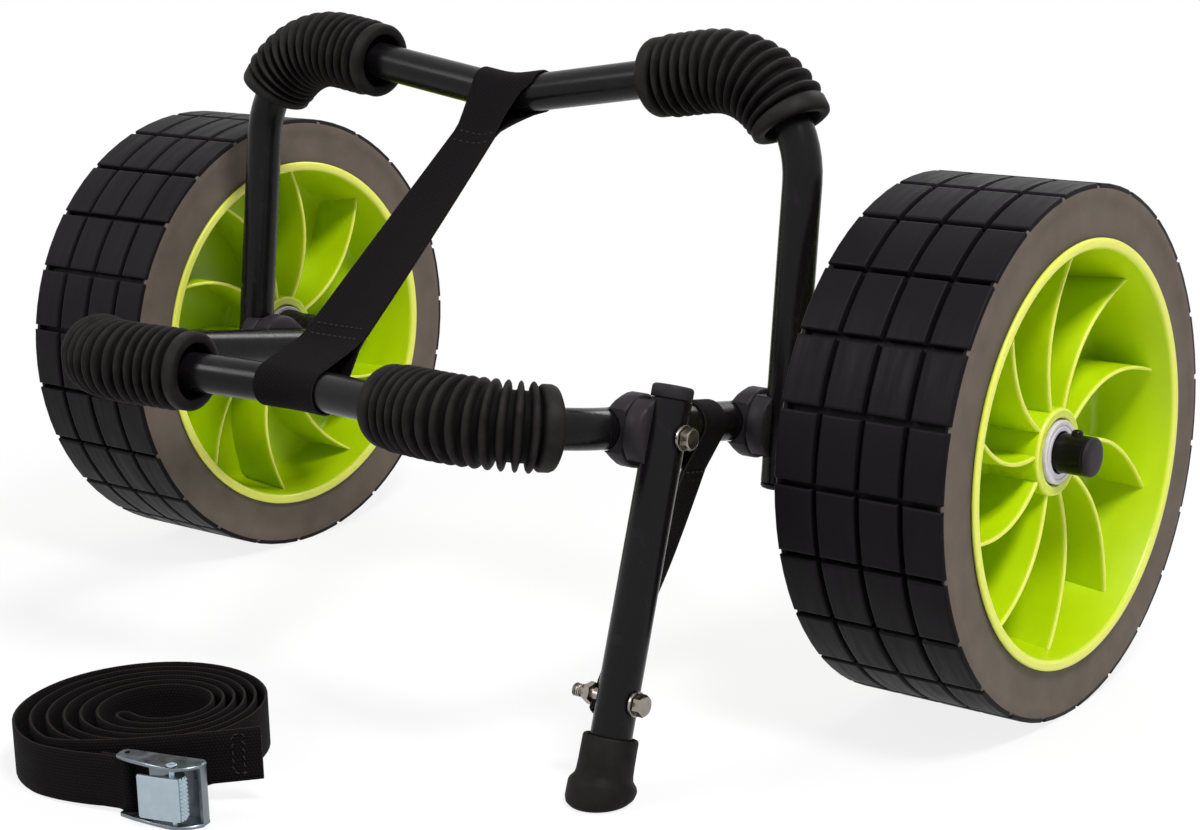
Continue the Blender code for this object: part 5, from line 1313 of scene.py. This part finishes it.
class CART_OT_straps(bpy.types.Operator):
    """Make the strap between the crossbars and the kickstand's limiter strap, with their seams"""

    bl_idname = "cart.straps"
    bl_label = "Sewn straps"

    LAYER_GAP = 0.08 * MM
    # How far from each crossbar the points low and high are moved along the strap
    HELD = 30 * MM
    COLUMNS = 9
    SEAM_FROM_BAR = 30 * MM
    WRAP_STEPS = 20
    RUN_STEPS = 40
    GATHER_LEFT = 0.08
    GATHER_RIGHT = 0.55
    GATHER_PEAK = 0.84
    LIMITER_WIDTH = 16 * MM
    LIMITER_FROM_AXLE = -106 * MM
    LIMITER_STEPS = 20
    LIMITER_SEAM = 22 * MM
    LIMITER_BOW = 3.5 * MM
    LIMITER_SLIP = 4 * MM

    def execute(self, context):
        sizes = context.scene.cart_sizes
        self.spreader(sizes)
        self.limiter(sizes)
        return {"FINISHED"}

    def crossbar(self, route, x):
        """The point of a crossbar's centre line at x."""
        for a, b in zip(route, route[1:]):
            if a.x <= x <= b.x and b.x > a.x and max(abs(a.x), abs(b.x)) < ARM_X * 0.8:
                return a.lerp(b, (x - a.x) / (b.x - a.x))
        raise RuntimeError("no crossbar at this x")

    def spreader(self, sizes):
        """A loop sewn to a double band between the crossbars, with a drop-shaped end round each."""
        thick = sizes.strap_thickness
        ring = sizes.tube_radius + 0.3 * MM + thick / 2
        apart = 0.5 * thick + self.LAYER_GAP
        turn = math.acos((ring - apart) / self.SEAM_FROM_BAR)
        leave = ring * math.cos(turn)
        offsets = [sizes.strap_width * (k / (self.COLUMNS - 1) - 0.5) for k in range(self.COLUMNS)]
        bars = [(FRONT_PLANE @ self.crossbar(front_route(), x), REAR_PLANE @ self.crossbar(rear_route(), x))
                for x in offsets]
        rows = []
        for end in (0, 1):
            # Round one crossbar from where the strap meets it to where it leaves it
            for i in range(self.WRAP_STEPS + 1):
                middles, normals = [], []
                for pair in bars:
                    line = pair[1 - end] - pair[end]
                    angle = math.atan2(line.z, line.y) + turn + (math.tau - 2 * turn) * i / self.WRAP_STEPS
                    normals.append(Vector((0, math.cos(angle), math.sin(angle))))
                    middles.append(pair[end] + normals[-1] * ring)
                rows.append(tape_row(middles, normals, thick))
            # One layer on to the other bar: slack to its seam, then doubled
            for i in range(1, self.RUN_STEPS):
                middles, normals = [], []
                for pair, x in zip(bars, offsets):
                    line = pair[1 - end] - pair[end]
                    total = line.length
                    line.normalize()
                    along = leave + (total - 2 * leave) * i / self.RUN_STEPS
                    slack = (self.SEAM_FROM_BAR - min(along, total - along)) / (self.SEAM_FROM_BAR - leave)
                    lift = apart + (ring * math.sin(turn) - apart) * max(slack, 0.0)
                    normals.append(Vector((0, line.z, -line.y)))
                    spot = pair[end] + line * along + normals[-1] * lift
                    spot.x -= x * self.gather(x, abs(end - along / total))
                    middles.append(spot)
                rows.append(tape_row(middles, normals, thick))
        mesh, around = tape_mesh(rows, closed=True)
        strap = make_piece("spreader_strap_webbing", mesh, "webbing", None, ["spreader_strap"],
                           sharp=60)
        low, high = bars[self.COLUMNS // 2]
        line = (high - low).normalized()
        up = Vector((0, -line.z, line.y)) * (thick + 0.2 * MM)
        total = (high - low).length
        lines = []
        for end, past, face in product((0, 1), (1.5 * MM, 8 * MM), (1, -1)):
            share = (self.SEAM_FROM_BAR + past) / total
            stitched = []
            for pair, x in list(zip(bars, offsets))[1:-1]:
                spot = pair[end].lerp(pair[1 - end], share) + up * face
                spot.x -= x * self.gather(x, abs(end - share))
                stitched.append(spot)
            lines.append(stitched)
        stitches = stitch_lines("spreader_strap_stitches", lines, None)
        low += line * self.HELD
        high -= line * self.HELD
        for piece in (strap, stitches):
            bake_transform(piece)

    def gather(self, x, from_front):
        """How much of its offset the strap gives up: its right edge is drawn in below the rear bar."""
        pull = self.GATHER_RIGHT if x > 0 else self.GATHER_LEFT
        peak = self.GATHER_PEAK
        if from_front < peak:
            return pull * (from_front / peak) ** 1.5
        return pull * max(0.0, 1 - ((from_front - peak) / (1 - peak)) ** 2)

    def limiter(self, sizes):
        """A loop round the arm that closes into a double band, held at its end by the cross bolt.
        Behind the tube it narrows and turns its edge to the bolt."""
        thick = sizes.strap_thickness
        half = self.LIMITER_WIDTH / 2
        ring = sizes.tube_radius + 0.15 * MM + thick / 2
        bolt = KICK_PLANE @ Vector((-sizes.tube_radius - GAP - 1.5 * MM, 0, -KICK_BOLT_DISTANCE))
        centre = FRONT_PLANE @ Vector((ARM_X, self.LIMITER_FROM_AXLE, 0))
        side = Vector((1, 0, 0))
        arm = (FRONT_PLANE.to_3x3() @ Vector((0, 1, 0))).normalized()
        down = (FRONT_PLANE.to_3x3() @ Vector((0, 0, -1))).normalized()
        apart = 0.5 * thick + self.LAYER_GAP
        turn = math.acos((ring - apart) / self.LIMITER_SEAM)
        top = centre + down * self.LIMITER_SEAM
        heading = bolt - top
        heading.x = 0
        heading.normalize()
        flat = side.cross(heading).normalized() * half
        flat *= math.copysign(1, flat.dot(arm))
        lean = flat.normalized()
        # The middle, half the width as a vector, and the normal of each row
        rows = []
        for i in range(self.WRAP_STEPS + 1):
            angle = turn + (math.tau - 2 * turn) * i / self.WRAP_STEPS
            out = down * math.cos(angle) + side * math.sin(angle)
            rows.append((centre + out * ring, arm * half, out))
        end = bolt + heading * 6.5 * MM
        runs = []
        for sign in (-1, 1):
            runs.append([])
            for i in range(self.LIMITER_STEPS + 1):
                share = i / self.LIMITER_STEPS
                middle = top.lerp(end, share) + side * apart * sign
                middle += lean * self.LIMITER_BOW * math.sin(math.pi * min(1.0, share * 1.1))
                middle += lean * self.LIMITER_SLIP * share ** 3
                across = (arm * half).lerp(flat, min(1.0, share * 3)) * (1 - 0.58 * share ** 3)
                runs[-1].append((middle, across, side * sign))
        tip = (end + heading * apart + lean * self.LIMITER_SLIP, flat * 0.42, heading)
        rows += runs[0] + [tip] + runs[1][::-1]
        shares = (-1, -0.5, 0, 0.5, 1)
        mesh, around = tape_mesh([
            tape_row([middle + across * share for share in shares], [normal] * len(shares), thick)
            for middle, across, normal in rows], closed=True)
        strap = make_piece("limiter_strap_webbing", mesh, "webbing", None, ["limiter_strap"],
                           sharp=60)
        lines = []
        for run, sign in product((1.5 * MM, 6.5 * MM), (-1, 1)):
            middle = top + heading * run + side * sign * (thick + 0.3 * MM)
            lines.append([middle - arm * (half - 2.5 * MM), middle + arm * (half - 2.5 * MM)])
        stitches = stitch_lines("limiter_strap_stitches", lines, None)
        for piece in (strap, stitches):
            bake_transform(piece)


class CART_OT_tie_down(bpy.types.Operator):
    """Make the rolled tie-down strap that lies beside the cart"""

    bl_idname = "cart.tie_down"
    bl_label = "Rolled strap"

    TAIL_STEPS = 16
    LEAD_STEPS = 10
    LOOP_STEPS = 14
    FOLD_STEPS = 12

    def execute(self, context):
        points = self.route()
        rows = []
        outs = []
        for spot, behind, ahead in zip(points, points[:1] + points, points[1:] + points[-1:]):
            flat = ahead - behind
            flat.z = 0
            flat.normalize()
            outs.append(Vector((flat.y, -flat.x, 0)))
            line = [spot + Vector((0, 0, TAPE_WIDTH * share)) for share in (0.02, 0.25, 0.5, 0.75, 0.98)]
            rows.append(tape_row(line, outs[-1:] * len(line), TAPE_THICKNESS))
        mesh, run = tape_mesh(rows)
        strap = make_piece("tie_down_strap_webbing", mesh, "webbing", "front_frame", ["tie_down_tape"],
                           sharp=60)
        self.seam(points, outs[1])
        return {"FINISHED"}

    def roll_point(self, turns, layer):
        angle = ROLL_END_ANGLE + math.tau * (turns - ROLL_TURNS)
        grow_by = ROLL_STEP * (2 * turns + layer)
        lean = 1 - (2 * turns + layer) / (2 * ROLL_TURNS + 1)
        return Vector((ROLL_CENTRE[0] + ROLL_LEAN[0] * lean + (ROLL_INNER[0] + grow_by) * math.cos(angle),
                       ROLL_CENTRE[1] + ROLL_LEAN[1] * lean + (ROLL_INNER[1] + grow_by) * math.sin(angle)))

    def bezier(self, corners, steps):
        a, b, c, d = (Vector(corner) for corner in corners)
        made = []
        for i in range(1, steps + 1):
            t = i / steps
            u = 1 - t
            made.append(a * u ** 3 + b * 3 * u * u * t + c * 3 * u * t * t + d * t ** 3)
        return made

    def route(self):
        """The tape's own line, from its tail's end to the loop round the buckle's bar."""
        count = round(ROLL_TURNS * POINTS_PER_TURN)
        inner, outer = ([self.roll_point(ROLL_TURNS * i / count, layer) for i in range(count + 1)]
                        for layer in (0, 1))
        leave = (inner[-1] - inner[-2]).normalized()
        tail = self.bezier((inner[-1], inner[-1] + leave * TAIL_RUN, TAIL_BEND, TAIL_END), self.TAIL_STEPS)
        along = Vector((math.cos(BUCKLE_TURN), math.sin(BUCKLE_TURN)))
        aside = Vector((-along.y, along.x))
        bar = Vector(BUCKLE_SPOT) + along * BAR_OFFSET[0] + aside * BAR_OFFSET[1]
        half = aside * LOOP_SEAM / 2
        seam = bar - along * LOOP_LENGTH - half
        leave = (outer[-1] - outer[-2]).normalized()
        lead = self.bezier(
            (outer[-1], outer[-1] + leave * LEAD_RUN, seam - along * LEAD_END_RUN, seam), self.LEAD_STEPS)
        loop = PIN_RADIUS + GAP + TAPE_THICKNESS / 2
        first = math.radians(-110)
        angles = [first - 2 * first * i / self.LOOP_STEPS for i in range(self.LOOP_STEPS + 1)]
        around = [bar + (along * math.cos(angle) + aside * math.sin(angle)) * loop for angle in angles]
        neck = -along * LOOP_LENGTH * LOOP_NECK
        sewn = [bar + neck - half, *around, bar + neck + half, bar - along * LOOP_LENGTH + half]
        middle = (inner[0] + outer[0]) / 2
        back = (inner[0] - inner[1]).normalized()
        across = (inner[0] - outer[0]) / 2
        angles = [math.pi * i / self.FOLD_STEPS for i in range(1, self.FOLD_STEPS)]
        fold = [middle + across * math.cos(angle) + back * across.length * 1.6 * math.sin(angle)
                for angle in angles]
        rising = [TAIL_LIFT * (len(tail) - i) / len(tail) for i in range(len(tail))]
        lying = [0.0] * (len(inner) + len(fold) + len(outer))
        lifted = [BUCKLE_LIFT * (i + 1) / len(lead) for i in range(len(lead))]
        flat = tail[::-1] + inner[::-1] + fold + outer + lead + sewn
        lifts = rising + lying + lifted + [BUCKLE_LIFT] * len(sewn)
        return [Vector((x, y + AXLE.y, lift)) for (x, y), lift in zip(flat, lifts)]

    def seam(self, points, out):
        """The box of stitches near the tail's end, on its side towards the front."""
        out = out * (TAPE_THICKNESS / 2 + 0.3 * MM) * math.copysign(1, -out.y)
        away = points[3] - points[0]
        away.z = 0
        away.normalize()
        corner = points[0] + out
        box = [corner + away * x * MM + Vector((0, 0, z * MM))
               for x, z in ((8, 3.5), (8, 21.5), (13, 21.5), (13, 3.5), (8, 3.5))]
        stitch_lines("tie_down_strap_stitches", [box], "front_frame", radius=0.35 * MM)


class CART_OT_buckle(bpy.types.Operator):
    """Make the cam buckle: frame, toothed lever, pin and bar"""

    bl_idname = "cart.buckle"
    bl_label = "Cam buckle"

    WALL = 1.6 * MM
    INSIDE = 25.6 * MM
    # The lever's teeth round its cam, its rows of them, and half its width in millimetres
    TEETH = 7
    LEVELS = 22
    HALF = 10

    def execute(self, context):
        end = (self.INSIDE / 2 + self.WALL) / MM
        top = end + GAP / MM
        wide = PIN_RADIUS / MM - 0.05
        pin = lathe([(-end, 0), (-end, wide - 0.15), (0.2 - end, wide), (top, wide), (top, 2.4),
                     (top + 0.4, 2.4), (top + 0.7, 2.0), (top + 0.8, 1.3), (top + 0.5, 0.8),
                     (top + 0.5, 0)], 32, axis="Z")
        bar = lathe([(-end, 0), (-end, 1.3), (0.25 - end, wide), (end - 0.25, wide), (end, 1.3),
                     (end, 0)], 32, axis="Z")
        moved(bar, Matrix.Translation((*BAR_OFFSET, 0)))
        for name, mesh, kind, body, cad, sharp in (
                ("plate", self.plate(), "zinc_dull", "front_frame", "frame", 35),
                ("thumb_lever", self.lever(), "zinc", "cam_lever", "lever", 30),
                ("pin_rivet", pin, "zinc", "front_frame", "pin", 35),
                ("cross_bar", bar, "zinc", "front_frame", "bar", 35)):
            make_piece(f"cam_buckle_{name}", moved(mesh, BUCKLE_PLANE), kind, body,
                       [f"cam_buckle_{cad}"], sharp=sharp)
        return {"FINISHED"}

    def ring(self, mesh, outline, z):
        """A ring of the buckle at one height, in millimetres."""
        return new_ring(mesh, [(x * MM, y * MM, z * MM) for x, y in outline])

    def plate(self):
        """A channel of folded sheet with eased edges, cut away behind the bar."""
        mesh = bmesh.new()
        wall = self.WALL / MM
        inside = self.INSIDE / 2 / MM
        back = 11.2
        ease = 0.35
        # Each side wall is a plate of its own outline, and the floor joins them
        outline = [
            (-31, 4.2), (-30, 2.9), (-22, 0.6), (-11, -1.7), (-2.75, -2.8), (2.75, -2.8), (8, 0.6),
            (11.5, 4.2), (11.5, back - 1.6), (10.6, back - 0.5), (9.6, back), (-18, back), (-29.5, back),
            (-31, back - 1.5)]
        spots = [Vector(spot) for spot in outline]
        middle = Vector((-9, 4.5))
        eased = [spot - (spot - middle).normalized() * ease for spot in spots]
        for sign in (-1, 1):
            skin(mesh, [self.ring(mesh, ring, sign * (inside + level)) for ring, level in (
                (eased, 0), (spots, ease), (spots, wall - ease), (eased, wall))], ends=True)
        # The floor turns up into a lip at the right end, as the sheet is folded
        floor = back - wall
        section = [
            (-18, back), (-18, floor), (8.2, floor), (9.4, floor - 0.5), (9.9, floor - 1.7), (9.9, 4.6),
            (11.5, 4.4), (11.5, back - 2.4), (11.0, back - 1.0), (9.8, back - 0.1), (8.6, back)]
        return skin(mesh, [self.ring(mesh, section, z) for z in (-inside - 0.2, inside + 0.2)], ends=True)

    def lever(self):
        """A cam with teeth in rows beside the tape, and a thumb plate with eased corners."""
        mesh = bmesh.new()
        front = -4.4
        back = front + 1.6
        loops = []
        for k in range(self.LEVELS + 1):
            end = k in (0, self.LEVELS)
            outline = []
            for i in range(self.TEETH * 2 + 1):
                angle = math.radians(-36 + 136 * i / (self.TEETH * 2))
                reach = (5.5 if i % 2 or end else 6.5) - (0.5 if k % 2 else 0.0)
                outline.append((reach * math.cos(angle), reach * math.sin(angle)))
            ease = 0.4 if end else 0.0
            outline += [
                (-2.4, 2.4), (-3.5, back + 1.6), (-9, back + 0.2), (-14.5, back), (ease - 15.6, back - 0.2),
                (ease - 16, back - 0.8), (ease - 15.6, front + ease + 0.2), (-14.8, front + ease),
                (-8, front + ease), (1.2, front + ease), (3.4, front + ease + 0.3)]
            loops.append(self.ring(mesh, outline, self.HALF * (2 * k / self.LEVELS - 1)))
        return skin(mesh, loops, ends=True)


class CART_PT_panel(bpy.types.Panel):
    """Sizes, colours and the operators that make the cart"""

    bl_idname = "CART_PT_panel"
    bl_label = "Paddleboard cart"
    bl_space_type = "VIEW_3D"
    bl_region_type = "UI"
    bl_category = "Cart"

    def draw(self, context):
        layout = self.layout
        for operator in OPERATORS:
            layout.operator(operator.bl_idname)
        for group in (context.scene.cart_sizes, context.scene.cart_colours):
            box = layout.box()
            for name in group.__annotations__:
                box.prop(group, name)


OPERATORS = (
    CART_OT_stage, CART_OT_tie_down, CART_OT_tubes, CART_OT_grips, CART_OT_tyres, CART_OT_rims,
    CART_OT_axle_ends, CART_OT_saddles, CART_OT_fasteners, CART_OT_kickstand_ends, CART_OT_straps,
    CART_OT_buckle,
)
CLASSES = (CartSizes, CartColours, *OPERATORS, CART_PT_panel)


def register():
    for one in CLASSES:
        bpy.utils.register_class(one)
    bpy.types.Scene.cart_sizes = bpy.props.PointerProperty(type=CartSizes)
    bpy.types.Scene.cart_colours = bpy.props.PointerProperty(type=CartColours)


def unregister():
    del bpy.types.Scene.cart_colours
    del bpy.types.Scene.cart_sizes
    for one in reversed(CLASSES):
        bpy.utils.unregister_class(one)


def main():
    """Make every piece in order."""
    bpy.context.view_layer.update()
    register()
    for operator in OPERATORS:
        group, name = operator.bl_idname.split(".")
        getattr(getattr(bpy.ops, group), name)()


if __name__ == "__main__":
    main()
